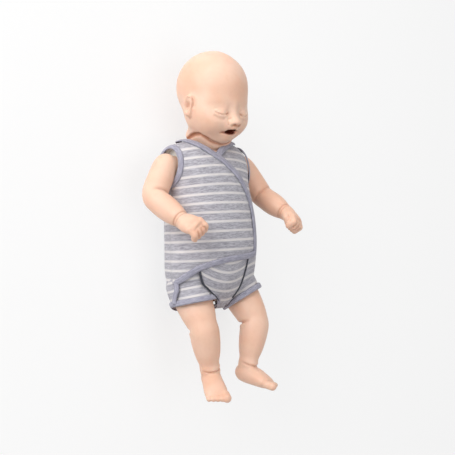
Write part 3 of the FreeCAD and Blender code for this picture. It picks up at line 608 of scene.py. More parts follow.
class Clay:
    """A mesh's points as arrays, pushed about in strokes."""

    def __init__(self, obj: bpy.types.Object) -> None:
        """Reads the mesh.

        Args:
            obj: the object to shape.
        """
        self.obj = obj
        count = len(obj.data.vertices)
        flat = np.empty(count * 3)
        obj.data.vertices.foreach_get("co", flat)
        self.points = flat.reshape(-1, 3).copy()
        # painted shade values: crease for creases, slits and hollows, mouth for the mouth's inside
        self.painted_shades = {"crease": np.zeros(count), "mouth": np.zeros(count)}
        self.read_normals()

    def read_normals(self) -> None:
        """Reads the vertex normals again."""
        flat = np.empty(len(self.points) * 3)
        self.obj.data.vertices.foreach_get("normal", flat)
        self.normals = flat.reshape(-1, 3).copy()

    def write(self) -> None:
        """Puts the points back in the mesh."""
        self.obj.data.vertices.foreach_set("co", self.points.ravel())
        self.obj.data.update()
        self.read_normals()

    def away(self, path: Sequence[Vector]) -> np.ndarray:
        """Each point's distance from a path of straight runs."""
        nearest = np.full(len(self.points), 1e9)
        for a, b in zip(path, path[1:]):
            start, run = np.array(a), np.array(b - a)
            share = np.clip((self.points - start) @ run / max(run @ run, 1e-12), 0, 1)
            gap = np.linalg.norm(self.points - start - share[:, None] * run, axis=1)
            nearest = np.minimum(nearest, gap)
        return nearest

    def nearest(self, place: Vector) -> Vector:
        """The mesh's point nearest to a place."""
        return Vector(self.points[int(np.argmin(np.linalg.norm(self.points - np.array(place), axis=1)))])

    def mound(self, centre: Vector, radius: float | tuple, height: float, frame_axes: Matrix | None = None,
              way: Vector | None = None) -> None:
        """Raises a soft mound, or presses a hollow.

        Args:
            centre: its middle.
            radius: its size, or its size along each of the frame's axes.
            height: how far it rises at the middle, negative for a hollow.
            frame_axes: the axes that the sizes follow.
            way: the direction that it rises in, the surface's own if left out.
        """
        offset = self.points - np.array(centre)
        if frame_axes is not None:
            offset = offset @ np.array(frame_axes.to_3x3())
        spread = offset / (np.array(radius) if isinstance(radius, tuple) else radius)
        share = np.exp(-0.5 * (spread ** 2).sum(axis=1))
        push = self.normals if way is None else np.array(way.normalized())
        self.points += push * (height * share)[:, None]

    def stroke(self, path: Sequence[Vector], width: float, height: float, stain_and_painted_shade: float = 0.0,
               way: Vector | None = None) -> None:
        """Draws a ridge, or a groove, along a path.

        Args:
            path: where it runs.
            width: its half width.
            height: how far it rises, negative for a groove.
            stain_and_painted_shade: how much painted shade its bottom gets.
            way: the direction that it rises in, the surface's own if left out.
        """
        share = np.exp(-0.5 * (self.away(path) / width) ** 2)
        push = self.normals if way is None else np.array(way.normalized())
        self.points += push * (height * share)[:, None]
        self.painted_shades["crease"] += stain_and_painted_shade * share

    def paint_shade_spot(self, place: Vector, radius: float, stain_and_painted_shade: float) -> None:
        """Paints shade on a soft spot."""
        gap = np.linalg.norm(self.points - np.array(place), axis=1)
        self.painted_shades["crease"] += stain_and_painted_shade * np.exp(-0.5 * (gap / radius) ** 2)

    def ring(self, centre: Vector, along: Vector, width: float, depth: float, reach: float, stain_and_painted_shade: float = 0.4,
             only: np.ndarray | None = None) -> None:
        """Presses a crease round a limb.

        Args:
            centre: a point on the limb's axis.
            along: the axis.
            width: the crease's half width.
            depth: how deep it is.
            reach: how far from the centre it is felt.
            stain_and_painted_shade: how much painted shade it gets.
            only: the share that each point takes part with.
        """
        offset = self.points - np.array(centre)
        axial = offset @ np.array(along.normalized())
        share = np.exp(-0.5 * (axial / width) ** 2) * (np.linalg.norm(offset, axis=1) < reach)
        if only is not None:
            share = share * only
        swell = np.exp(-0.5 * ((np.abs(axial) - 3.2 * width) / (1.8 * width)) ** 2) * 0.35
        swell = swell * (np.linalg.norm(offset, axis=1) < reach) * (1 if only is None else only)
        self.points += self.normals * (depth * (swell - share))[:, None]
        self.painted_shades["crease"] += stain_and_painted_shade * share

    def keep_painted_shades(self) -> None:
        """Stores the painted shade values on the mesh."""
        for name, values in self.painted_shades.items():
            layer = self.obj.data.attributes.new(name, "FLOAT", "POINT")
            layer.data.foreach_set("value", values.astype(np.float32))


def hand_over(clay: Clay, skin: bpy.types.Material, body: str, node: str) -> bpy.types.Object:
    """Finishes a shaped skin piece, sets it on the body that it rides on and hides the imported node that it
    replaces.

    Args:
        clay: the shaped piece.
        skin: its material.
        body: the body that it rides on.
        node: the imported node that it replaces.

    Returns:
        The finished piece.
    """
    clay.keep_painted_shades()
    Bench.finish(clay.obj, skin)
    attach(clay.obj, body)
    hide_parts(node)
    return clay.obj


# The head


@dataclass
class Head:
    """The soft head with its face, ears and neck; sizes in millimetres in the head's own frame."""

    skin: bpy.types.Material
    voxel: float = 1.15 * MM
    eye_across: float = 21.8
    eye_up: float = -19.5
    eye_half: float = 9.5
    nose_up: float = -30.0
    mouth_up: float = -48.5
    mouth_half: float = 12.0
    mouth_middle: float = 0.0
    mouth_tilt: float = 0.09
    samples: int = 8
    ear_place: tuple = (53.0, -15.5, 17.0)

    def axes(self) -> Matrix:
        """The head's own axes as the columns of a matrix: across, up and forward."""
        turn = HEAD_PITCH
        up = Vector((0, math.cos(turn), math.sin(turn)))
        out = Vector((0, -math.sin(turn), math.cos(turn)))
        return Matrix((Vector((1, 0, 0)), up, out)).transposed()

    def at(self, across: float, up: float, out: float) -> Vector:
        """A point of the head's own frame, in millimetres, in the model's frame."""
        return HEAD_CENTRE + self.axes() @ (Vector((across, up, out)) * MM)

    def way(self, across: float, up: float, out: float) -> Vector:
        """A direction of the head's own frame."""
        return self.axes() @ Vector((across, up, out))

    def local(self, points: np.ndarray) -> np.ndarray:
        """Points in the head's own frame, in millimetres."""
        return (points - np.array(HEAD_CENTRE)) @ np.array(self.axes()) / MM

    def plug(self, start: Vector, end: Vector, radius: float) -> bpy.types.Object:
        """A round bar that closes an opening before the skin is rebuilt."""
        along = end - start
        turn = along.to_track_quat("Z", "Y").to_euler()
        Bench.pick(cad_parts["head_skin"])
        bpy.ops.object.select_all(action="DESELECT")
        bpy.ops.mesh.primitive_cylinder_add(
            vertices=48, radius=radius, depth=along.length, location=(start + end) / 2, rotation=turn)
        return bpy.context.active_object

    def on_face(self, clay: Clay, across: float, up: float) -> Vector:
        """The skin's point in front of a place on the face."""
        where = self.local(clay.points)
        gap = np.hypot(where[:, 0] - across, where[:, 1] - up) + np.where(where[:, 2] < 5, 100.0, 0.0)
        near = np.argsort(gap - where[:, 2] * 0.02)[:self.samples]
        return self.at(across, up, float(where[near, 2].mean()))

    def build(self) -> bpy.types.Object:
        """Builds the head.

        Returns:
            The finished piece.
        """
        base = Bench.copy_node("head_skin", "head_skin_looks")
        mouth_back = self.plug(self.at(0, self.mouth_up, 26), self.at(0, self.mouth_up, 34), 17 * MM)
        throat = self.plug(NECK_HINGE + mm(0, 12, -2), self.at(0, -54, 4), 33 * MM)
        pins = [
            self.plug(mm(x - 6, 117, 56), mm(x + 6, 117, 56), 7 * MM) for x in (-29, 29)
        ]
        obj = Bench.join("head_skin_looks", base, mouth_back, throat, *pins)
        Bench.remesh(obj, self.voxel, 5)
        Bench.refine(obj, self._detailed)
        Bench.modify(obj, "SMOOTH", factor=0.4, iterations=2)
        clay = Clay(obj)
        self._face(clay)
        for side in Side:
            self._ear(clay, side)
        self._neck(clay)
        return hand_over(clay, self.skin, Body.HEAD.value, "head_skin")

    def _detailed(self, points: np.ndarray) -> np.ndarray:
        """Which points lie on the face or an ear."""
        where = self.local(points)
        face = (np.abs(where[:, 0]) < 42) & (where[:, 1] > -70) & (where[:, 1] < 4) & (where[:, 2] > 25)
        ear = (np.abs(where[:, 0]) > 44) & (np.abs(where[:, 1] + 17) < 24) & (np.abs(where[:, 2] - 13) < 17)
        return face | ear

    def _face(self, clay: Clay) -> None:
        """Shapes the closed eyes, nose, lips, cheeks and chin."""
        axes = self.axes()
        out = self.way(0, 0, 1)
        for side in (-1, 1):
            eye = self.on_face(clay, side * self.eye_across, self.eye_up + 2.5)
            socket = (11 * MM, 8 * MM, 14 * MM)
            clay.mound(eye, socket, -1.6 * MM, axes, out)
            clay.mound(eye + axes @ mm(0, 1.5, 0), (9 * MM, 5.5 * MM, 10 * MM), 3.3 * MM, axes, out)
            brow = self.on_face(clay, side * 21, -3)
            clay.mound(brow, (13 * MM, 5 * MM, 14 * MM), 1.2 * MM, axes, out)
            cheek = self.on_face(clay, side * 27, -37)
            clay.mound(cheek, (13 * MM, 11 * MM, 16 * MM), 2.2 * MM, axes, out)
            jowl = self.on_face(clay, side * 30, -55)
            clay.mound(jowl, (11 * MM, 9 * MM, 14 * MM), 1.2 * MM, axes)
        clay.write()
        for side in (-1, 1):
            slit, bag, fold = [], [], []
            for step in range(9):
                share = step / 4 - 1
                across = side * (self.eye_across + share * self.eye_half)
                droop = 2.4 * (1 - share * share)
                slit.append(self.on_face(clay, across, self.eye_up + 0.6 - droop))
                fold.append(self.on_face(clay, across, self.eye_up + 8.5 - 2.5 * share * share))
                bag.append(self.on_face(clay, across, self.eye_up - 6.5 - droop + 1.5 * share * share))
            # the last number of these strokes is painted shade: in the eye slit, the lid fold and the bag below
            clay.stroke(slit, 0.8 * MM, -1.3 * MM, 0.45)
            clay.stroke([p + axes @ mm(0, 2.2, 0) for p in slit], 1.3 * MM, 0.9 * MM)
            clay.stroke([p + axes @ mm(0, -2.6, 0) for p in slit[1:]], 1.6 * MM, 1.2 * MM)
            clay.stroke(fold, 1.6 * MM, -0.5 * MM, 0.08)
            clay.stroke(bag[3:], 1.7 * MM, -0.8 * MM, 0.2)
            # painted shade in the inner eye corner
            inner = self.on_face(clay, side * 13.0, self.eye_up + 0.5)
            clay.mound(inner, 3.2 * MM, -1.5 * MM, None, out)
            clay.paint_shade_spot(inner, 2.4 * MM, 0.5)
            temple = self.on_face(clay, side * 33, -9)
            clay.mound(temple, (8 * MM, 6 * MM, 10 * MM), -1.2 * MM, axes)
        clay.write()
        self._nose(clay)
        self._mouth(clay)
        chin = self.on_face(clay, 0, -60)
        clay.mound(chin, (9 * MM, 6 * MM, 10 * MM), 2.2 * MM, axes)
        clay.mound(self.on_face(clay, 0, -55), (8 * MM, 2.2 * MM, 9 * MM), -0.9 * MM, axes)
        clay.write()

    def _nose(self, clay: Clay) -> None:
        """Shapes the button nose with its wings and nostrils."""
        axes = self.axes()
        out = self.way(0, 0, 1)
        for side in (-1, 1):
            beside = self.on_face(clay, side * 8.5, -16)
            clay.mound(beside, (4.5 * MM, 8 * MM, 10 * MM), -1.7 * MM, axes, out)
        bridge = self.on_face(clay, 0, -17)
        clay.mound(bridge, (4.5 * MM, 7 * MM, 12 * MM), 0.3 * MM, axes, out)
        tip = self.on_face(clay, 0, self.nose_up + 0.5)
        clay.mound(tip, (6.6 * MM, 5.0 * MM, 10 * MM), 3.6 * MM, axes, out)
        clay.write()
        for side in (-1, 1):
            wing = self.on_face(clay, side * 8.8, self.nose_up - 1.6)
            clay.mound(wing, (3.6 * MM, 3.8 * MM, 8 * MM), 3.6 * MM, axes, out)
        clay.write()
        # painted shade in the grooves round the nose's wings and in the nostrils
        for side in (-1, 1):
            groove = [self.on_face(clay, side * x, self.nose_up + y) for x, y in
                      ((9.5, 4.5), (12.6, 2.2), (13.2, -2.0), (11.6, -5.4))]
            clay.stroke(groove, 1.2 * MM, -1.2 * MM, 0.4)
            nostril = self.on_face(clay, side * 4.2, self.nose_up - 4.6)
            clay.mound(nostril, (2.2 * MM, 1.5 * MM, 4 * MM), -2.6 * MM, axes, out)
            clay.paint_shade_spot(nostril, 1.5 * MM, 0.9)
        clay.write()
        # painted shade under the nose and, faintly, in the philtrum
        base = [self.on_face(clay, x, self.nose_up - 6.2) for x in (-7, -3, 0, 3, 7)]
        clay.stroke(base, 1.7 * MM, -1.6 * MM, 0.8)
        philtrum = [self.on_face(clay, 0, y) for y in (self.nose_up - 7, self.nose_up - 10, self.mouth_up + 6)]
        clay.stroke(philtrum, 1.2 * MM, -0.6 * MM, 0.1)
        clay.write()

    def _mouth(self, clay: Clay) -> None:
        """Shapes the lips round the open mouth and paints shade inside it, darker with depth."""
        axes = self.axes()
        out = self.way(0, 0, 1)
        upper, lower, corners = [], [], []
        for step in range(13):
            share = step / 6 - 1
            across = self.mouth_middle + share * self.mouth_half
            tilt = self.mouth_tilt * (across - self.mouth_middle)
            arch = 5.0 * math.sqrt(max(1 - share * share, 0)) - 0.9 * math.exp(-(share / 0.22) ** 2)
            upper.append(self.on_face(clay, across, self.mouth_up + tilt + arch + 0.9))
            droop = 4.6 * math.sqrt(max(1 - share * share, 0)) + 0.6
            lower.append(self.on_face(clay, across, self.mouth_up + tilt - droop))
        clay.stroke(upper, 1.3 * MM, 1.3 * MM, 0.0, out)
        clay.stroke(lower, 1.5 * MM, 1.2 * MM, 0.0, out)
        for side in (-1, 1):
            reach = side * (self.mouth_half + 1.0)
            low = self.mouth_up - 0.4 + self.mouth_tilt * reach
            corners.append(self.on_face(clay, self.mouth_middle + reach, low))
        for corner in corners:
            clay.mound(corner, (2.8 * MM, 1.4 * MM, 6 * MM), -5.0 * MM, axes, out)
            clay.mound(corner, (4 * MM, 4 * MM, 8 * MM), -0.7 * MM, axes, out)
        clay.write()
        # painted shade: the mouth's inside is darkened with depth behind the lips
        where = self.local(clay.points)
        open_half = self.mouth_half + 2.0
        inside = (np.abs(where[:, 0] - self.mouth_middle) / open_half) ** 2
        inside += ((where[:, 1] - self.mouth_up) / 4.0) ** 2
        front = self.local(np.array([self.on_face(clay, 0, self.mouth_up + 7)]))[0, 2]
        deep = (front - 1.5 - where[:, 2]) / 2.0
        clay.painted_shades["mouth"] += np.clip(1.35 - inside, 0, 1) * np.clip(deep, 0, 1) * (where[:, 2] > 20)

    def _ear(self, clay: Clay, side: Side) -> None:
        """Shapes an outer ear: rim, inner ridge, bowl, notch and lobe."""
        axes = self.axes()
        across, up, out = self.ear_place

        def spot(forward: float, high: float, lift: float = 0.0) -> Vector:
            """A place on the ear, in millimetres from its middle."""
            return self.at(side.value * (across + lift), up + high, out + forward)

        away = self.way(side.value, 0, -0.25)
        rim = [spot(3, 0, 1), spot(6.5, 5, 1), spot(6.5, 12, 1.5), spot(1, 17, 2), spot(-6, 14, 2.5),
               spot(-9.5, 5, 3), spot(-8.5, -5, 3), spot(-4.5, -13, 2)]
        clay.stroke(rim, 1.7 * MM, 2.6 * MM, 0.0, away)
        clay.write()
        clay.stroke(rim[2:], 2.6 * MM, 4.0 * MM, 0.0, self.way(side.value, 0, 0.1))
        clay.write()
        ridge = [spot(0, 9, 2), spot(-4, 4, 2.5), spot(-4.4, -3, 2.5), spot(-1.5, -8, 2)]
        clay.stroke(ridge, 1.5 * MM, 1.2 * MM, 0.0, away)
        # painted shade in the gutter under the rim, the notch and the bowl
        gutter = [spot(3.5, 10, 2), spot(-2, 12, 2), spot(-6.2, 7, 2.5), spot(-6.2, -2, 2.5)]
        clay.stroke(gutter, 1.2 * MM, -1.5 * MM, 0.55, away)
        clay.mound(spot(-0.5, 1, 1), (5 * MM, 5.2 * MM, 3.4 * MM), -3.0 * MM, axes, away)
        clay.mound(spot(11, -3, -3), (6 * MM, 12 * MM, 4.5 * MM), 1.8 * MM, axes, away)
        clay.mound(spot(5.6, -3.5, 1), (3 * MM, 2.6 * MM, 1.8 * MM), 1.6 * MM, axes, away)
        clay.mound(spot(0.5, -13.5, 1), (4 * MM, 3.2 * MM, 3.4 * MM), 1.5 * MM, axes, away)
        clay.stroke([spot(1.5, -7.5, 2), spot(2.8, -5.2, 2)], 0.9 * MM, -0.9 * MM, 0.5, away)
        clay.paint_shade_spot(spot(-0.5, 2), 4.0 * MM, 0.8)
        clay.write()

    def _neck(self, clay: Clay) -> None:
        """Presses the deep crease between jaw and neck, with painted shade in it, and fills out the neck below it.
        """
        right = ((-31, -74, -16), (-33, -69, -8), (-35, -63.6, 3.8), (-36, -60, 13), (-35, -57.7, 25),
                 (-29, -61, 31), (-19, -66.6, 34), (-10, -69, 36.7), (0, -70.5, 38))
        jaw = [self.at(x, y, z) for x, y, z in right + tuple((-x, y, z) for x, y, z in right[-2::-1])]
        down = self.axes() @ mm(0, -7, -4)
        clay.stroke([p + down for p in jaw], 4.5 * MM, 0.9 * MM)
        clay.write()
        # painted shade in the jaw crease and, faintly, along the neck below it
        clay.stroke(jaw, 2.3 * MM, -3.8 * MM, 1.8)
        clay.stroke([p - down * 0.45 for p in jaw], 2.2 * MM, 1.0 * MM, 0.15)
        clay.write()


# Arms and legs


@dataclass
class Arm:
    """A bent arm with a loose fist."""

    skin: bpy.types.Material
    side: Side
    voxel: float = 1.0 * MM

    def build(self) -> bpy.types.Object:
        """Builds the arm.

        Returns:
            The finished piece.
        """
        node = f"arm_{self.side.label}"
        obj = Bench.copy_node(node, f"{node}_looks")
        Bench.remesh(obj, self.voxel, 9)
        clay = Clay(obj)
        elbow = Vector((self.side.value * ELBOW.x, ELBOW.y, ELBOW.z))
        shoulder = Vector((self.side.value * SHOULDER.x, SHOULDER.y, SHOULDER.z))
        wrist = WRISTS[self.side]
        lower = (wrist - elbow).normalized()
        upper = (elbow - shoulder).normalized()
        # painted shade in the wrist creases
        clay.ring(wrist - lower * 3.2 * MM, lower, 0.8 * MM, 1.1 * MM, 26 * MM)
        clay.ring(wrist + lower * 1.2 * MM, lower, 0.7 * MM, 0.7 * MM, 26 * MM)
        clay.write()
        fold = (lower - upper).normalized()
        inner = np.clip(((clay.points - np.array(elbow)) @ np.array(fold)) / (14 * MM), 0, 1)
        across = (upper + lower).normalized()
        # painted shade in the elbow's inner fold
        clay.ring(elbow + fold * 10 * MM, across, 1.3 * MM, 1.0 * MM, 22 * MM, 0.3, inner ** 2)
        clay.write()
        self._knuckles(clay, wrist)
        return hand_over(clay, self.skin, node, node)

    def _knuckles(self, clay: Clay, wrist: Vector) -> None:
        """Parts the curled fingers, raises each one and presses the dimples over the knuckles."""
        flip = self.side.value
        along = HANDS[self.side].normalized()
        back = Vector((flip * 0.5, 0.7, 0.4))
        back = (back - along * back.dot(along)).normalized()
        thumb = Vector((flip * -0.8, 0.5, 0.15))
        side = (thumb - along * thumb.dot(along) - back * thumb.dot(back)).normalized()

        def spot(forward: float, wide: float, high: float) -> Vector:
            """The hand's point nearest to a place, in millimetres from the wrist."""
            return clay.nearest(wrist + (along * forward + side * wide + back * high) * MM)

        for finger in range(4):
            wide = 11.5 - 7.7 * finger
            for forward, high in ((36, -3), (33, -11), (27, -13)):
                clay.mound(spot(forward, wide, high), 3.2 * MM, 1.2 * MM)
        clay.write()
        # painted shade in the gaps between the fingers
        for gap in range(3):
            wide = 11.5 - 7.7 * (gap + 0.5)
            clay.stroke([spot(*q) for q in ((40, wide, 3), (38, wide, -5), (34, wide, -12), (25, wide, -14))],
                        0.9 * MM, -1.9 * MM, 0.4)
        clay.write()
        # painted shade in the dimples over the knuckles
        for finger in range(4):
            root = spot(26, 11.5 - 7.7 * finger, 12)
            clay.mound(root, 2.6 * MM, -0.6 * MM)
            clay.paint_shade_spot(root, 2 * MM, 0.15)
        clay.write()


@dataclass
class Leg:
    """A bent leg with its foot."""

    skin: bpy.types.Material
    side: Side
    voxel: float = 1.15 * MM

    def build(self) -> bpy.types.Object:
        """Builds the leg.

        Returns:
            The finished piece.
        """
        node = f"leg_{self.side.label}"
        obj = Bench.copy_node(node, f"{node}_looks")
        Bench.remesh(obj, self.voxel, 7)
        clay = Clay(obj)
        knee, ankle = KNEES[self.side], ANKLES[self.side]
        thigh, shin = thigh_of(self.side), (ankle - knee).normalized()
        behind = (shin - thigh).normalized()
        share = np.clip(((clay.points - np.array(knee)) @ np.array(behind)) / (16 * MM), 0, 1)
        across = (thigh + shin).normalized()
        # painted shade behind the knee
        clay.ring(knee + behind * 10 * MM, across, 1.4 * MM, 2.4 * MM, 34 * MM, 0.5, share)
        front = Vector((0, 0, 1))
        share = np.clip(((clay.points - np.array(ankle)) @ np.array(front)) / (9 * MM), 0, 1)
        instep = (shin * 0.8 - front * 0.2).normalized()
        # painted shade at the front of the ankle
        clay.ring(ankle - shin * 2 * MM, instep, 1.1 * MM, 1.4 * MM, 30 * MM, 0.5, share)
        clay.write()
        return hand_over(clay, self.skin, node, node)


# The suit


@dataclass(frozen=True)
class Station:
    """One ring of the suit's outside, in millimetres."""

    y: float
    half_width: float
    front: float
    middle: float


TORSO = (
    Station(127, 44, 84, 54), Station(122, 62, 89, 55), Station(111, 73, 97, 57), Station(97, 77, 105, 59),
    Station(78, 76, 111, 61), Station(60, 71.5, 115, 63), Station(40, 74, 118, 65), Station(15, 78, 121, 66),
    Station(-10, 79, 124, 67), Station(-38, 80, 125, 66), Station(-64, 81, 120, 64), Station(-88, 81, 113, 62),
    Station(-108, 72, 106, 60), Station(-127, 42, 97, 60), Station(-142, 22, 84, 61),
)


def clamped_spline(values: np.ndarray, samples: int) -> np.ndarray:
    """Points of a clamped cubic spline.

    Args:
        values: its control rows.
        samples: how many points.

    Returns:
        The points, evenly spread over the spline.
    """
    count = len(values)
    knots = np.concatenate([np.zeros(3), np.arange(count - 2), np.full(3, count - 3)])
    made = []
    for at in np.linspace(0, count - 3 - 1e-9, samples):
        k = int(at) + 3
        d = [values[k - 3 + j].astype(float) for j in range(4)]
        for r in range(1, 4):
            for j in range(3, r - 1, -1):
                i = k - 3 + j
                share = (at - knots[i]) / (knots[i + 4 - r] - knots[i])
                d[j] = (1 - share) * d[j - 1] + share * d[j]
        made.append(d[3])
    return np.array(made)


@dataclass
class SuitForm:
    """The shape that the suit takes over the body: torso and both leg tubes as one even skin."""

    grid: float = 2.0 * MM
    around: int = 180
    rings: int = 150
    back_press: float = 9.0

    def build(self) -> bpy.types.Object:
        """Builds the form, which is removed once the cloth is cut from it."""
        pieces = [self._torso()] + [self._tube(side) for side in Side]
        obj = Bench.join("suit_form", *pieces)
        Bench.remesh(obj, self.grid, 6)
        return obj

    def _rolled(self, name: str, rows: list) -> bpy.types.Object:
        """A closed tube through rings of points, with its ends filled."""
        around = len(rows[0])
        points = [p for row in rows for p in row]
        faces = []
        for i in range(len(rows) - 1):
            for j in range(around):
                k = (j + 1) % around
                faces.append((i * around + j, i * around + k, (i + 1) * around + k, (i + 1) * around + j))
        faces.append(tuple(range(around))[::-1])
        faces.append(tuple((len(rows) - 1) * around + j for j in range(around)))
        obj = Bench.mesh(name, points, faces)
        Bench.pick(obj)
        bpy.ops.object.mode_set(mode="EDIT")
        bpy.ops.mesh.select_all(action="SELECT")
        bpy.ops.mesh.normals_make_consistent(inside=False)
        bpy.ops.object.mode_set(mode="OBJECT")
        return obj

    def _torso(self) -> bpy.types.Object:
        """The torso's rings."""
        control = np.array([(s.y, s.half_width, s.front, s.middle) for s in TORSO])
        rows = []
        for y, width, front, middle in clamped_spline(control, self.rings):
            row = []
            for j in range(self.around):
                angle = 2 * math.pi * j / self.around
                high = front - middle if math.sin(angle) > 0 else middle + self.back_press
                z = max(middle + high * math.sin(angle), 0.6)
                row.append(mm(width * math.cos(angle), y, z))
            rows.append(row)
        return self._rolled("form_torso", rows)

    def _tube(self, side: Side) -> bpy.types.Object:
        """A leg's tube from inside the hip to below its hem."""
        hip, thigh = hip_of(side), thigh_of(side)
        across = (Vector((1, 0, 0)) - thigh * thigh.x).normalized()
        deep = thigh.cross(across)
        rows = []
        for at, radius in ((-34, 8), (-31, 18), (-20, 29), (-8, 34), (6, 35), (20, 34.6), (34, 34.2), (46, 33.6),
                           (56, 33.0)):
            centre = hip + thigh * at * MM
            row = []
            for j in range(72):
                angle = 2 * math.pi * j / 72
                row.append(centre + (across * math.cos(angle) + deep * math.sin(angle)) * radius * MM)
            rows.append(row)
        return self._rolled(f"form_tube_{side.label}", rows)


class Cut:
    """A panel cut out of the suit form."""

    def __init__(self, form: bpy.types.Object, name: str, keep: Callable[[np.ndarray], np.ndarray]) -> None:
        """Copies the form's faces that the panel keeps.

        Args:
            form: the suit form.
            name: the panel's name.
            keep: says which of the given points, in millimetres, the panel holds.
        """
        mesh = form.data
        flat = np.empty(len(mesh.vertices) * 3)
        mesh.vertices.foreach_get("co", flat)
        points = flat.reshape(-1, 3)
        inside = keep(points / MM)
        faces = [tuple(p.vertices) for p in mesh.polygons if all(inside[v] for v in p.vertices)]
        used = sorted({v for f in faces for v in f})
        number = {v: i for i, v in enumerate(used)}
        self.obj = Bench.mesh(name, points[used], [tuple(number[v] for v in f) for f in faces])
        self._drop_crumbs()
        self.clay = Clay(self.obj)

    def _drop_crumbs(self) -> None:
        """Deletes all but the largest connected patch."""
        bm = bmesh.new()
        bm.from_mesh(self.obj.data)
        left, patches = set(bm.verts), []
        while left:
            stack, patch = [next(iter(left))], set()
            while stack:
                v = stack.pop()
                if v in patch:
                    continue
                patch.add(v)
                stack.extend(e.other_vert(v) for e in v.link_edges if e.other_vert(v) not in patch)
            patches.append(patch)
            left -= patch
        patches.sort(key=len)
        for patch in patches[:-1]:
            for v in patch:
                bm.verts.remove(v)
        bm.to_mesh(self.obj.data)
        bm.free()

    def lift(self, height: float) -> None:
        """Moves the whole panel outwards."""
        self.clay.points += self.clay.normals * height
        self.clay.write()

    def close(self, thickness: float, map_of: Callable[[np.ndarray], np.ndarray],
              material: bpy.types.Material) -> float:
        """Gives the panel its own map, its thickness and its material.

        Args:
            thickness: of the cloth.
            map_of: gives each point, in millimetres, its place on the flat cloth, in metres.
            material: the cloth.

        Returns:
            The panel's area in square metres.
        """
        mesh = self.obj.data
        area = sum(p.area for p in mesh.polygons)
        flat = map_of(self.clay.points / MM)
        layer = mesh.uv_layers.new(name="cloth")
        corner = np.empty(len(mesh.loops), dtype=np.int32)
        mesh.loops.foreach_get("vertex_index", corner)
        layer.data.foreach_set("uv", flat[corner].ravel())
        Bench.modify(self.obj, "SOLIDIFY", thickness=thickness, offset=-1.0)
        Bench.finish(self.obj, material)
        return area


def smooth_path(points: Sequence[Vector], step: float) -> list:
    """A smooth path through points.

    Args:
        points: what it passes through.
        step: the distance between the points that it returns.

    Returns:
        Points along the path.
    """
    fine = []
    padded = [points[0] * 2 - points[1], *points, points[-1] * 2 - points[-2]]
    for a, b, c, d in zip(padded, padded[1:], padded[2:], padded[3:]):
        count = max(int((c - b).length / step), 2)
        for i in range(count):
            t = i / count
            fine.append(0.5 * (2 * b + (c - a) * t + (2 * a - 5 * b + 4 * c - d) * t * t
                               + (3 * b - a - 3 * c + d) * t * t * t))
    fine.append(points[-1].copy())
    return fine


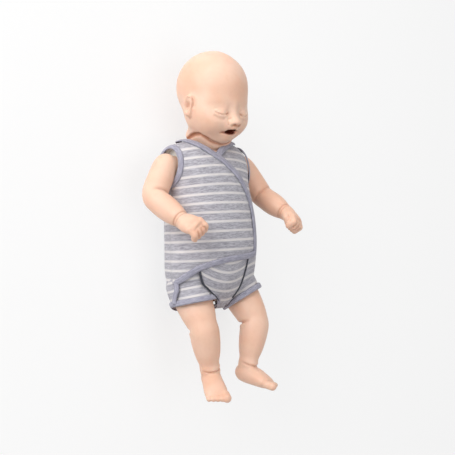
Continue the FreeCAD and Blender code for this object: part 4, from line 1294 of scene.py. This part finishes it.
@dataclass
class Binding:
    """A folded strip of ribbed cloth along an edge, with a line of dark stitches beside one edge."""

    name: str
    path: Sequence[Vector]
    width: float
    body: Body
    lift: float
    stitched: Sequence[float] = (0.42,)
    closed: bool = False
    rise: float = 1.7 * MM
    step: float = 2.0 * MM
    columns: int = 9
    bends: tuple = ()

    def build(self, seat: "Seat", cloth: bpy.types.Material, thread: bpy.types.Material) -> list:
        """Builds the strip and its stitches.

        Args:
            seat: the surface that it lies on.
            cloth: the strip's material.
            thread: the stitches' material.

        Returns:
            The strip and the stitches.
        """
        line = smooth_path(list(self.path) + ([self.path[0]] if self.closed else []), self.step)
        if self.closed:
            line = line[:-1]
        count = len(line)
        seated = [seat.at(p, self.lift) for p in line]
        runs, rows, distance = [], [], 0.0
        for i, (place, normal) in enumerate(seated):
            before = seated[(i - 1) % count if self.closed else max(i - 1, 0)][0]
            after = seated[(i + 1) % count if self.closed else min(i + 1, count - 1)][0]
            along = (after - before).normalized()
            across = normal.cross(along).normalized()
            row = []
            for j in range(self.columns):
                share = 2 * j / (self.columns - 1) - 1
                spot, up = seat.at(place + across * share * self.width / 2, self.lift)
                crown = self.rise * (1 - share ** 6) ** 0.5 if abs(share) < 1 else 0.0
                row.append(spot + up * crown)
            if i:
                distance += (place - seated[i - 1][0]).length
            rows.append(row)
            runs.append((distance, along, across))
        strip = self._mesh(rows, runs)
        Bench.modify(strip, "SMOOTH", factor=0.5, iterations=2)
        area = sum(p.area for p in strip.data.polygons)
        Bench.modify(strip, "SOLIDIFY", thickness=0.9 * MM, offset=-1.0)
        Bench.finish(strip, cloth)
        self._hold(strip)
        if not self.stitched:
            return [strip]
        flat = (max(self.width * 1.15, 10.5 * MM), distance + self.step)
        min(area, flat[0] * flat[1])
        return [strip, self._stitches(rows, runs, thread)]

    def _hold(self, obj: bpy.types.Object) -> None:
        """Lets a piece ride on its body, or, where it has bends, bakes its place into its mesh."""
        if self.bends:
            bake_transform(obj)
        else:
            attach(obj, self.body.value)

    def _mesh(self, rows: list, runs: list) -> bpy.types.Object:
        """The strip's grid with its own map: across in X, along in Y."""
        count, wide = len(rows), self.columns
        faces = []
        for i in range(count if self.closed else count - 1):
            k = (i + 1) % count
            faces += [(i * wide + j, i * wide + j + 1, k * wide + j + 1, k * wide + j) for j in range(wide - 1)]
        obj = Bench.mesh(self.name, [p for row in rows for p in row], faces)
        layer = obj.data.uv_layers.new(name="cloth")
        for loop in obj.data.loops:
            i, j = divmod(loop.vertex_index, wide)
            layer.data[loop.index].uv = (runs[i][0], j / (wide - 1) * self.width)
        return obj

    def _stitches(self, rows: list, runs: list, thread: bpy.types.Material) -> bpy.types.Object:
        """Short raised stitches along the strip."""
        bm = bmesh.new()
        length, gap = 2.6 * MM, 2.7 * MM
        for share in self.stitched:
            column = (share + 0.5) * (self.columns - 1)
            low = min(int(column), self.columns - 2)
            mix = column - low
            next_at = 0.0
            for i, (distance, along, across) in enumerate(runs):
                if distance < next_at:
                    continue
                next_at = distance + gap
                place = rows[i][low].lerp(rows[i][low + 1], mix)
                up = along.cross(across) * -1
                turn = Matrix((across, along, up)).transposed().to_4x4()
                size = Matrix.Diagonal((0.42 * MM, length / 2, 0.34 * MM, 1))
                where = Matrix.Translation(place + up * 0.3 * MM) @ turn @ size
                bmesh.ops.create_icosphere(bm, subdivisions=1, radius=1.0, matrix=where)
        data = bpy.data.meshes.new(f"{self.name}_stitches")
        bmesh.ops.recalc_face_normals(bm, faces=bm.faces)
        bm.to_mesh(data)
        bm.free()
        obj = bpy.data.objects.new(f"{self.name}_stitches", data)
        bpy.context.scene.collection.objects.link(obj)
        Bench.finish(obj, thread)
        self._hold(obj)
        return obj


class Seat:
    """Finds places on the suit form's surface."""

    def __init__(self, form: bpy.types.Object) -> None:
        """Reads the form."""
        self.tree = BVHTree.FromObject(form, bpy.context.evaluated_depsgraph_get())
        self.points = [v.co.copy() for v in form.data.vertices]
        self.normals = [v.normal.copy() for v in form.data.vertices]
        self.faces = [tuple(p.vertices) for p in form.data.polygons]

    def at(self, near: Vector, lift: float) -> tuple:
        """The surface's nearest point, lifted, and its smooth normal.

        Args:
            near: where to look.
            lift: how far above the surface.

        Returns:
            The place and the normal.
        """
        place, _, face, _ = self.tree.find_nearest(near)
        total, weight = Vector((0, 0, 0)), 0.0
        for v in self.faces[face]:
            share = 1.0 / ((self.points[v] - place).length + 0.2 * MM)
            total += self.normals[v] * share
            weight += share
        normal = (total / weight).normalized()
        return place + normal * lift, normal


@dataclass
class Suit:
    """The wrap-front suit: panels of striped jersey, bindings and cuffs. Sizes in millimetres."""

    jersey: bpy.types.Material
    rib: bpy.types.Material
    thread: bpy.types.Material
    thickness: float = 1.1 * MM
    seam_z: float = 66.0
    armhole: tuple = (29.0, 24.5)
    stripe_start: float = 100.2
    shortest_leg: float = 24.0
    first_stripe: float = 18.9
    strap_half: float = 12.5
    gusset: float = 30.0
    bend: tuple = (6.0, 30.0)
    neck_radius: float = 37.5
    torso_round: float = 75.0
    leg_round: float = 34.0
    wrap_edge: tuple = ((-46, 127), (-36, 118), (-20, 105), (1, 88), (27, 60), (42, 32), (48, 5), (49, -25),
                        (49, -60))
    hem: tuple = ((49, -60), (30, -63), (-12, -66), (-50, -75), (-66, -86), (-73, -94), (-77, -101))
    crotch_left: tuple = ((-56, -70), (-51, -90), (-44, -105), (-36, -117), (-23, -130), (-15, -146))
    crotch_right: tuple = ((30, -60), (28, -76), (25, -92), (20, -110), (10, -126), (2, -146))
    cuff_lines: dict = field(default_factory=lambda: {
        Side.LEFT: (mm(80.8, -119.7, 81.4), mm(28.8, -133.2, 95.3)),
        Side.RIGHT: (mm(-79, -133, 74), mm(-42, -126, 104))})

    def build(self) -> list:
        """Builds the whole suit.

        Returns:
            Its pieces.
        """
        form = SuitForm().build()
        seat = Seat(form)
        made = [
            self._panel(form, "back_panel_cloth", self._back, 0.2, ("suit_back_panel",), 0.0),
            self._panel(form, "wrap_panel_cloth", self._wrap, 1.6, ("wrap_front_panel",), 0.0),
            self._panel(form, "under_panel_cloth", self._under, 0.3, ("under_front_panel",), 4.0),
            self._panel(form, "crotch_panel_cloth", self._crotch_part, 2.4, ("crotch_panel",), 7.0),
        ]
        made += [self._sleeve(form, side) for side in Side]
        made += self._bindings(seat)
        bpy.data.objects.remove(form)
        return made

    # Which of the given points, in millimetres, each panel holds

    def _open(self, p: np.ndarray) -> np.ndarray:
        """Points clear of the armholes, the neck and the ends."""
        tall, deep = self.armhole
        arm = np.hypot((p[:, 1] - SHOULDER.y / MM) / tall, (p[:, 2] - SHOULDER.z / MM) / deep) > 1
        arm |= np.abs(p[:, 0]) < 40
        neck = np.hypot(p[:, 0], p[:, 2] - 57) > self.neck_radius
        neck |= p[:, 1] < 122
        ring = np.linalg.norm(p - np.array(NECK_HINGE) / MM, axis=1) > self.neck_radius
        return arm & neck & ring

    def _edge_x(self, y: np.ndarray, path: tuple) -> np.ndarray:
        """The x of a path at each y, for a path that runs down."""
        line = smooth_path([mm(x, v) for x, v in path], 2 * MM)
        ys = np.array([q.y / MM for q in line])[::-1]
        xs = np.array([q.x / MM for q in line])[::-1]
        return np.interp(y, ys, xs)

    def _hem_y(self, x: np.ndarray) -> np.ndarray:
        """The y of the wrap's hem at each x."""
        line = smooth_path([mm(u, v) for u, v in self.hem], 2 * MM)
        xs = np.array([q.x / MM for q in line])[::-1]
        ys = np.array([q.y / MM for q in line])[::-1]
        return np.interp(x, xs, ys)

    def _leg_share(self, p: np.ndarray) -> np.ndarray:
        """How far along its thigh each point lies from the hip, in millimetres."""
        share = np.full(len(p), -999.0)
        for side in Side:
            along = (p - np.array(hip_of(side)) / MM) @ np.array(thigh_of(side))
            share = np.where(p[:, 0] * side.value > self.strap_half, along, share)
        return share

    def _back(self, p: np.ndarray) -> np.ndarray:
        """The back, from side seam to side seam, and its gusset under both thighs."""
        gusset = (np.abs(p[:, 0]) < self.gusset) & (p[:, 1] < -95)
        share = self._leg_share(p)
        gusset &= share < np.where(p[:, 0] < 0, 40, 12)
        return self._open(p) & (p[:, 2] < self.seam_z + 1.5) & ((share < -3) | gusset)

    def _wrap(self, p: np.ndarray) -> np.ndarray:
        """The front panel that lies on top."""
        front = p[:, 2] >= self.seam_z - 1.5
        edge = p[:, 0] < self._edge_x(p[:, 1], self.wrap_edge)
        return front & edge & (p[:, 1] > self._hem_y(p[:, 0])) & self._open(p)

    def _under(self, p: np.ndarray) -> np.ndarray:
        """The front panel that lies below, on the manikin's left, and its apron over the belly's lower edge."""
        front = p[:, 2] >= self.seam_z - 1.5
        edge = p[:, 0] > self._edge_x(p[:, 1], self.wrap_edge) - 14
        edge |= p[:, 1] < -44
        neck = np.interp(p[:, 0], (-12, 0, 12, 24, 38), (100, 108, 116, 121, 126))
        return front & edge & (p[:, 1] < neck) & (self._leg_share(p) < 12) & (p[:, 1] > -104) & self._open(p)

    def _crotch_part(self, p: np.ndarray) -> np.ndarray:
        """The panel that comes up between the legs."""
        front = p[:, 2] >= 50
        left = self._edge_x(p[:, 1], self.crotch_left)
        right = self._edge_x(p[:, 1], self.crotch_right)
        for side in Side:
            front &= (p[:, 0] * side.value < 14) | (self._opening(side, p) > 1)
        return front & (p[:, 0] > left) & (p[:, 0] < right) & (p[:, 1] < self._hem_y(p[:, 0]) + 9)

    def _panel(self, form: bpy.types.Object, name: str, keep: Callable[[np.ndarray], np.ndarray], lift: float,
               nodes: Iterable[str], shift: float) -> bpy.types.Object:
        """Cuts, folds and finishes one panel that stays with the torso.

        Args:
            form: the suit form.
            name: the panel's name.
            keep: its outline.
            lift: how far it lies off the form, in millimetres.
            nodes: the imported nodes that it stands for.
            shift: how far its stripes are moved, in millimetres.

        Returns:
            The panel.
        """
        cut = Cut(form, name, keep)
        cut.lift(lift * MM)
        self._folds(cut, name)
        area = cut.close(self.thickness, lambda p: self._map(p, shift, name), self.jersey)
        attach(cut.obj, Body.TORSO.value)
        self._declare(nodes)
        return cut.obj

    def _declare(self, nodes: Iterable[str]) -> None:
        """Hides the imported nodes that the cloth stands for."""
        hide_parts(*nodes)

    def _map(self, p: np.ndarray, shift: float, name: str) -> np.ndarray:
        """The flat cloth's map: round the body in X, along it in Y, so that stripes stand where they should."""
        angle = np.arctan2(p[:, 2] - 62, p[:, 0])
        half = STRIPE_PITCH / 2
        bow = 0.0012 * np.clip(p[:, 1] / 60, 0, 1) if "crotch" not in name else -0.008
        along = p[:, 1] + bow * (p[:, 0] + 6) ** 2 * (p[:, 2] > self.seam_z - 2)
        along -= np.clip(82 - p[:, 2], 0, None) * np.clip((-134 - p[:, 1]) / 7, 0, 1)
        return np.stack([angle * self.torso_round * MM, (along - self.stripe_start + half + shift) * MM], axis=1)

    def _folds(self, cut: Cut, name: str) -> None:
        """Presses soft folds where the cloth drags."""
        clay = cut.clay
        rng = np.random.default_rng(7)
        if "wrap" in name:
            for path, width, height in (
                (((-72, 30, 90), (-55, 22, 108), (-30, 18, 118)), 5.0, 1.2),
                (((-76, 2, 88), (-60, -6, 106), (-36, -8, 118)), 5.0, 1.4),
                (((-78, -24, 86), (-62, -34, 104), (-44, -36, 114)), 4.5, 1.6),
                (((-78, -52, 84), (-64, -60, 100), (-48, -60, 110)), 4.5, 1.6),
                (((-30, 96, 102), (-12, 78, 110), (8, 52, 115)), 5.0, 1.0),
                (((-64, 88, 84), (-52, 70, 98), (-40, 60, 106)), 4.0, 1.1),
                (((40, -30, 114), (20, -46, 120), (-10, -50, 122)), 5.0, 1.1),
            ):
                clay.stroke([mm(*q) for q in path], width * MM, height * MM)
            hem = clay.points[:, 1] / MM - self._hem_y(clay.points[:, 0] / MM)
            flare = np.exp(-np.clip(hem, 0, None) / 9.0)
            clay.points += clay.normals * (1.9 * MM * flare)[:, None]
        if "crotch" in name:
            clay.mound(mm(-8, -96, 112), (17 * MM, 17 * MM, 30 * MM), 4.0 * MM)
        if "under" in name:
            clay.points -= clay.normals * (1.7 * MM * np.clip((-50 - clay.points[:, 1] / MM) / 8, 0, 1))[:, None]
        if "back" in name:
            near = self._leg_share(clay.points / MM)
            beside = np.abs(clay.points[:, 0] / MM) - self.strap_half
            deep = np.clip((near + 12) / 8, 0, 1) * np.clip(beside / 4, 0, 1)
            clay.points -= clay.normals * (1.8 * MM * deep)[:, None]
            for x, y in rng.uniform((-70, -110), (70, 110), (10, 2)):
                clay.mound(mm(x, y, 20), (14 * MM, 4 * MM, 20 * MM), 0.7 * MM)
        clay.write()
        lump = np.sin(clay.points[:, 1] * 95 + clay.points[:, 0] * 40) * np.sin(clay.points[:, 0] * 70 + 1.3)
        clay.points += clay.normals * (0.35 * MM * lump)[:, None]
        below = clay.points[:, 2] < 2 * MM
        clay.points[below, 2] = np.maximum(clay.points[below, 2], 0.2 * MM)
        clay.write()

    def _opening(self, side: Side, p: np.ndarray) -> np.ndarray:
        """How far down the thigh each point is from the leg's opening, in millimetres."""
        thigh = np.array(thigh_of(side))
        first, second = (np.array(q) / MM for q in self.cuff_lines[side])
        normal = np.cross(second - first, np.array(VIEWPOINT) / MM - first)
        return ((first - p) @ normal) / (thigh @ normal)

    def _limit(self, side: Side, p: np.ndarray) -> np.ndarray:
        """How far along the thigh from the hip the leg's opening lies for each point, in millimetres."""
        along = (p - np.array(hip_of(side)) / MM) @ np.array(thigh_of(side))
        return np.maximum(along + self._opening(side, p), self.shortest_leg)

    def _turn(self, side: Side) -> tuple:
        """The leg's body, and the two places along its thigh at the bend's distances from the hip."""
        hip, thigh = hip_of(side), thigh_of(side)
        body = Body.LEG_LEFT if side is Side.LEFT else Body.LEG_RIGHT
        return body, *(hip + thigh * at * MM for at in self.bend)

    def _sleeve(self, form: bpy.types.Object, side: Side) -> bpy.types.Object:
        """A leg's tube of cloth, with its place baked into its mesh."""
        hip, way = np.array(hip_of(side)) / MM, np.array(thigh_of(side))

        def keep(p: np.ndarray) -> np.ndarray:
            """The points that the tube and its lap over the belly hold."""
            along = (p - hip) @ way
            radial = np.linalg.norm(p - hip - along[:, None] * way, axis=1)
            mine = p[:, 0] * side.value > 10
            last = self._limit(side, p) - 1.5
            tube = (along > -12) & (along < last) & (radial < 46)
            lap = (p[:, 2] > 60) & (p[:, 1] < self._hem_y(p[:, 0]) + 10) & (along < last)
            return mine & (tube | lap)

        name = f"leg_tube_{side.label}_cloth"
        cut = Cut(form, name, keep)
        clay = cut.clay
        for path, height in (
            (((62, -92, 92), (52, -112, 98), (30, -120, 92)), 1.5),
            (((74, -100, 76), (66, -122, 86), (48, -132, 92)), 1.2),
        ):
            clay.stroke([mm(side.value * x, y, z) for x, y, z in path], 4 * MM, height * MM)
        clay.write()

        def map_of(p: np.ndarray) -> np.ndarray:
            """The flat cloth's map: round the thigh in X, up from the opening in Y."""
            rel = p - hip
            turned = np.arctan2(rel[:, 2], rel[:, 0] * side.value) * self.leg_round
            return np.stack([turned * MM, (self.first_stripe - self._opening(side, p)) * MM], axis=1)

        area = cut.close(self.thickness, map_of, self.jersey)
        body, start, end = self._turn(side)
        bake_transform(cut.obj)
        self._declare((f"leg_tube_{side.label}",))
        return cut.obj

    def _bindings(self, seat: Seat) -> list:
        """The strips along neckline, armholes, hem and leg openings."""
        front = [self._drop(seat, x, y) for x, y in self.wrap_edge[::-1][:-1]]
        behind = [mm(-43, 124, 76), mm(-44, 126, 55), mm(-36, 127, 33), mm(-18, 127, 18), mm(0, 127, 15),
                  mm(18, 127, 18), mm(36, 127, 33), mm(44, 126, 55), mm(42, 124, 76)]
        under = [self._drop(seat, x, y) for x, y in ((34, 123), (24, 120), (12, 115), (0, 108), (-9, 101))]
        made = []
        made += Binding("neckline_binding_cloth", front + behind + under, 10.0 * MM, Body.TORSO, 2.2 * MM,
                        (-0.43,)).build(seat, self.rib, self.thread)
        hem = [self._drop(seat, x, y + 3) for x, y in self.hem]
        made += Binding("hem_binding_cloth", hem, 9.0 * MM, Body.TORSO, 3.4 * MM,
                        (0.43,)).build(seat, self.rib, self.thread)
        # dark strips along the crotch panel's edges: partly its overlock thread, partly painted shadow where the
        # panel laps over the leg tubes
        for name, edge in (("left", self.crotch_left[:-1]), ("right", self.crotch_right[:-1])):
            line = [self._drop(seat, x, y) for x, y in edge]
            made += Binding(f"crotch_edge_thread_and_shadow_{name}_cloth", line, 2.4 * MM, Body.TORSO, 2.6 * MM, (), rise=1.1 * MM,
                            columns=5).build(seat, self.thread, self.thread)
        for side in Side:
            ring = []
            for k in range(16):
                angle = 2 * math.pi * k / 16
                high, deep = (r + 1.8 for r in self.armhole)
                y, z = SHOULDER.y / MM + high * math.cos(angle), SHOULDER.z / MM + deep * math.sin(angle)
                ring.append(self._beside(seat, side, y, z))
            strip = Binding(f"armhole_binding_{side.label}_cloth", ring, 8.6 * MM, Body.TORSO, 1.6 * MM,
                            (-0.3, 0.42), True).build(seat, self.rib, self.thread)
            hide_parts(f"armhole_binding_{side.label}")
            made += strip + self._cuff(seat, side)
        flank = hem[-3:] + [mm(-80.5, -108, 77), mm(-81.5, -116, 75), mm(-81, -123, 74), mm(-80, -130, 74)]
        made += Binding("side_binding_cloth", flank, 8.8 * MM, Body.TORSO, 3.0 * MM, (-0.4,),
                        bends=self._turn(Side.RIGHT)).build(seat, self.rib, self.thread)
        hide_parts("neckline_binding", "under_neckline_binding", "back_neckline_binding")
        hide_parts("wrap_hem_binding")
        return made

    def _drop(self, seat: Seat, x: float, y: float) -> Vector:
        """The point of the suit's front below a place in plan."""
        place, _, _, _ = seat.tree.ray_cast(mm(x, y, 200), Vector((0, 0, -1)))
        return place if place is not None else seat.at(mm(x, y, 100), 0)[0]

    def _beside(self, seat: Seat, side: Side, y: float, z: float) -> Vector:
        """The point of the suit's flank beside a place in side view."""
        place, _, _, _ = seat.tree.ray_cast(mm(side.value * 150, y, z), Vector((-side.value, 0, 0)))
        return place if place is not None else seat.at(mm(side.value * 70, y, z), 0)[0]

    def _cuff(self, seat: Seat, side: Side) -> list:
        """The plain cuff round a leg's opening."""
        hip, thigh = hip_of(side), thigh_of(side)
        across = (Vector((1, 0, 0)) - thigh * thigh.x).normalized()
        deep = thigh.cross(across)
        ring = []
        for k in range(18):
            angle = 2 * math.pi * k / 18
            spot = hip + (across * math.cos(angle) + deep * math.sin(angle)) * 35 * MM
            last = self._limit(side, np.array([spot]) / MM)[0]
            ring.append(spot + thigh * (last - 4.0) * MM)
        cuff = Binding(f"leg_cuff_{side.label}_cloth", ring, 8.0 * MM, Body.TORSO, 0.9 * MM, (-0.40,), True,
                       bends=self._turn(side))
        made = cuff.build(seat, self.rib, self.thread)
        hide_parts(f"leg_cuff_{side.label}")
        return made


# The inside


@dataclass
class Works:
    """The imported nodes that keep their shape, each given its material."""

    skin: bpy.types.Material

    def dress(self) -> None:
        """Gives each shown node its material."""
        white = Moulded("shell_plastic", (0.80, 0.79, 0.75)).material()
        grey = Moulded("frame_plastic", (0.16, 0.19, 0.22)).material()
        dark = Moulded("dark_plastic", (0.03, 0.03, 0.035)).material()
        insert = Moulded("insert_plastic", (0.42, 0.10, 0.06), 0.55).material()
        board = Moulded("solder_mask", (0.02, 0.16, 0.07), 0.25).material()
        film = Moulded("lung_film", (0.78, 0.82, 0.84), 0.2).material()
        wrap = Moulded("cell_sleeve", (0.03, 0.10, 0.06), 0.25).material()
        steel = DrawnSteel("plated_steel").material()
        spring = DrawnSteel("spring_steel", (0.4, 0.4, 0.42), 0.35).material()
        wear = {
            "back_shell": white, "skull_shell": white, "chest_plate": grey, "base_plate": grey,
            "arm_flange_left": grey, "arm_flange_right": grey, "leg_flange_left": grey, "leg_flange_right": grey,
            "battery_tray": dark, "battery_lid": dark, "batteries": wrap, "circuit_board": board,
            "mouth_funnel": insert, "airway_tube": insert, "lung_bag": film, "base_screws": steel,
            "neck_pin": steel, "compression_spring": spring, "chest_skin": self.skin,
        }
        for node, material in wear.items():
            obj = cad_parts[node]
            obj.data.materials.clear()
            obj.data.materials.append(material)
            # the skin material reads the painted shade values, so the chest skin gets them empty
            for name in ("crease", "mouth"):
                if material is self.skin and name not in obj.data.attributes:
                    obj.data.attributes.new(name, "FLOAT", "POINT")
            LOG.info("dressed %s", node)


# The room


@dataclass
class Studio:
    """The pale floor, the soft lights and the camera at the photograph's angle."""

    target: Vector
    azimuth: float = math.radians(38)
    roll: float = math.radians(-2.6)
    distance: float = 1.150
    focal: float = 697.0
    frame_size: float = 455.0
    floor_size: float = 14.0
    glow: float = 0.7
    sensor: float = 36.0
    daylight: tuple = (0.42, 0.58)
    lamps: tuple = (("key", (1.3, 0.9, -0.9), 1.3, 22.5), ("fill", (1.5, -0.3, 1.3), 1.6, 11.0),
                    ("top", (0.5, 1.6, 0.2), 1.2, 8.0))

    def build(self) -> None:
        """Builds the floor, lights and camera."""
        self._floor()
        self._camera()
        world = bpy.context.scene.world or bpy.data.worlds.new("World")
        bpy.context.scene.world = world
        world.use_nodes = True
        back = next(n for n in world.node_tree.nodes if n.type == "BACKGROUND")
        back.inputs[0].default_value = (1, 1, 1, 1)
        seen = self._seen(Graph.of(world.node_tree))
        on_object, on_view = self.daylight
        world.node_tree.links.new((seen * on_view + on_object).out, back.inputs[1])
        right, up, out = self._view()
        for name, (ahead, above, beside), size, power in self.lamps:
            self._lamp(name, self.target + out * ahead + up * above + right * beside, size, power)
        bpy.context.scene.view_settings.view_transform = "Standard"

    def _view(self) -> tuple:
        """The photograph's directions before its roll: to the right, up and towards the viewer."""
        up = Vector((0, 1, 0))
        out = Vector((-math.sin(self.azimuth), 0, math.cos(self.azimuth)))
        return up.cross(out), up, out

    def _lamp(self, name: str, place: Vector, size: float, power: float) -> None:
        """A soft square lamp that faces the manikin."""
        data = bpy.data.lights.new(name, "AREA")
        data.shape = "SQUARE"
        data.size = size
        data.energy = power
        lamp = bpy.data.objects.new(name, data)
        bpy.context.scene.collection.objects.link(lamp)
        lamp.location = place
        lamp.rotation_euler = (self.target - place).to_track_quat("-Z", "Y").to_euler()

    def _floor(self) -> None:
        """A pale floor that the manikin lies on."""
        bpy.ops.object.select_all(action="DESELECT")
        bpy.ops.mesh.primitive_plane_add(size=self.floor_size, location=(0, 0, -0.0004))
        floor = bpy.context.active_object
        floor.name = "floor"
        g = Graph("floor_white")
        g.feed("Base Color", (0.94, 0.94, 0.94))
        g.feed("Roughness", 0.9)
        g.feed("Specular IOR Level", 0.1)
        glow = g.node("ShaderNodeEmission", {}, {"Color": (1, 1, 1, 1), "Strength": 1.0})
        lit = Socket(g, g.shader.outputs[0])
        both = g.node("ShaderNodeMixShader", {}, {0: self._seen(g) * self.glow, 1: lit, 2: glow})
        end = next(n for n in g.tree.nodes if n.type == "OUTPUT_MATERIAL")
        g.tree.links.new(both.out, end.inputs["Surface"])
        floor.data.materials.append(g.material)

    @staticmethod
    def _seen(g: Graph) -> Socket:
        """1 for a ray from the camera, a reflection or a clear piece, and 0 for light on the object."""
        kinds = ("Camera", "Glossy", "Transmission")
        rays = [g.node("ShaderNodeLightPath", {}, {}, f"Is {kind} Ray") for kind in kinds]
        return (rays[0] + rays[1] + rays[2]).clamp()

    def _camera(self) -> None:
        """The camera, turned as the photograph's was."""
        right, up, out = self._view()
        rolled_right = right * math.cos(self.roll) + up * math.sin(self.roll)
        rolled_up = up * math.cos(self.roll) - right * math.sin(self.roll)
        data = bpy.data.cameras.new("camera")
        data.sensor_width = self.sensor
        data.lens = self.focal / self.frame_size * data.sensor_width
        data.clip_start = 0.05
        camera = bpy.data.objects.new("camera", data)
        bpy.context.scene.collection.objects.link(camera)
        turn = Matrix((rolled_right, rolled_up, out)).transposed().to_4x4()
        camera.matrix_world = Matrix.Translation(self.target + out * self.distance) @ turn
        bpy.context.scene.camera = camera


def main() -> None:
    """Builds every piece in order."""
    logging.basicConfig(level=logging.INFO, format="%(message)s")
    skin = Vinyl().material()
    jersey = Jersey("striped_jersey").material()
    rib = Jersey("rib_binding", (0.28, 0.275, 0.345), (0.48, 0.47, 0.56), striped=False, wale=1.3 * MM).material()
    thread = Thread("dark_thread", (0.035, 0.037, 0.05)).material()
    Studio(mm(24, -14, 77)).build()
    Works(skin).dress()
    Head(skin).build()
    LOG.info("head")
    for side in Side:
        Arm(skin, side).build()
        Leg(skin, side).build()
        LOG.info("limbs %s", side.label)
    for piece in Suit(jersey, rib, thread).build():
        LOG.info("%s %d", piece.name, len(piece.data.polygons))


if __name__ == "__main__":
    main()
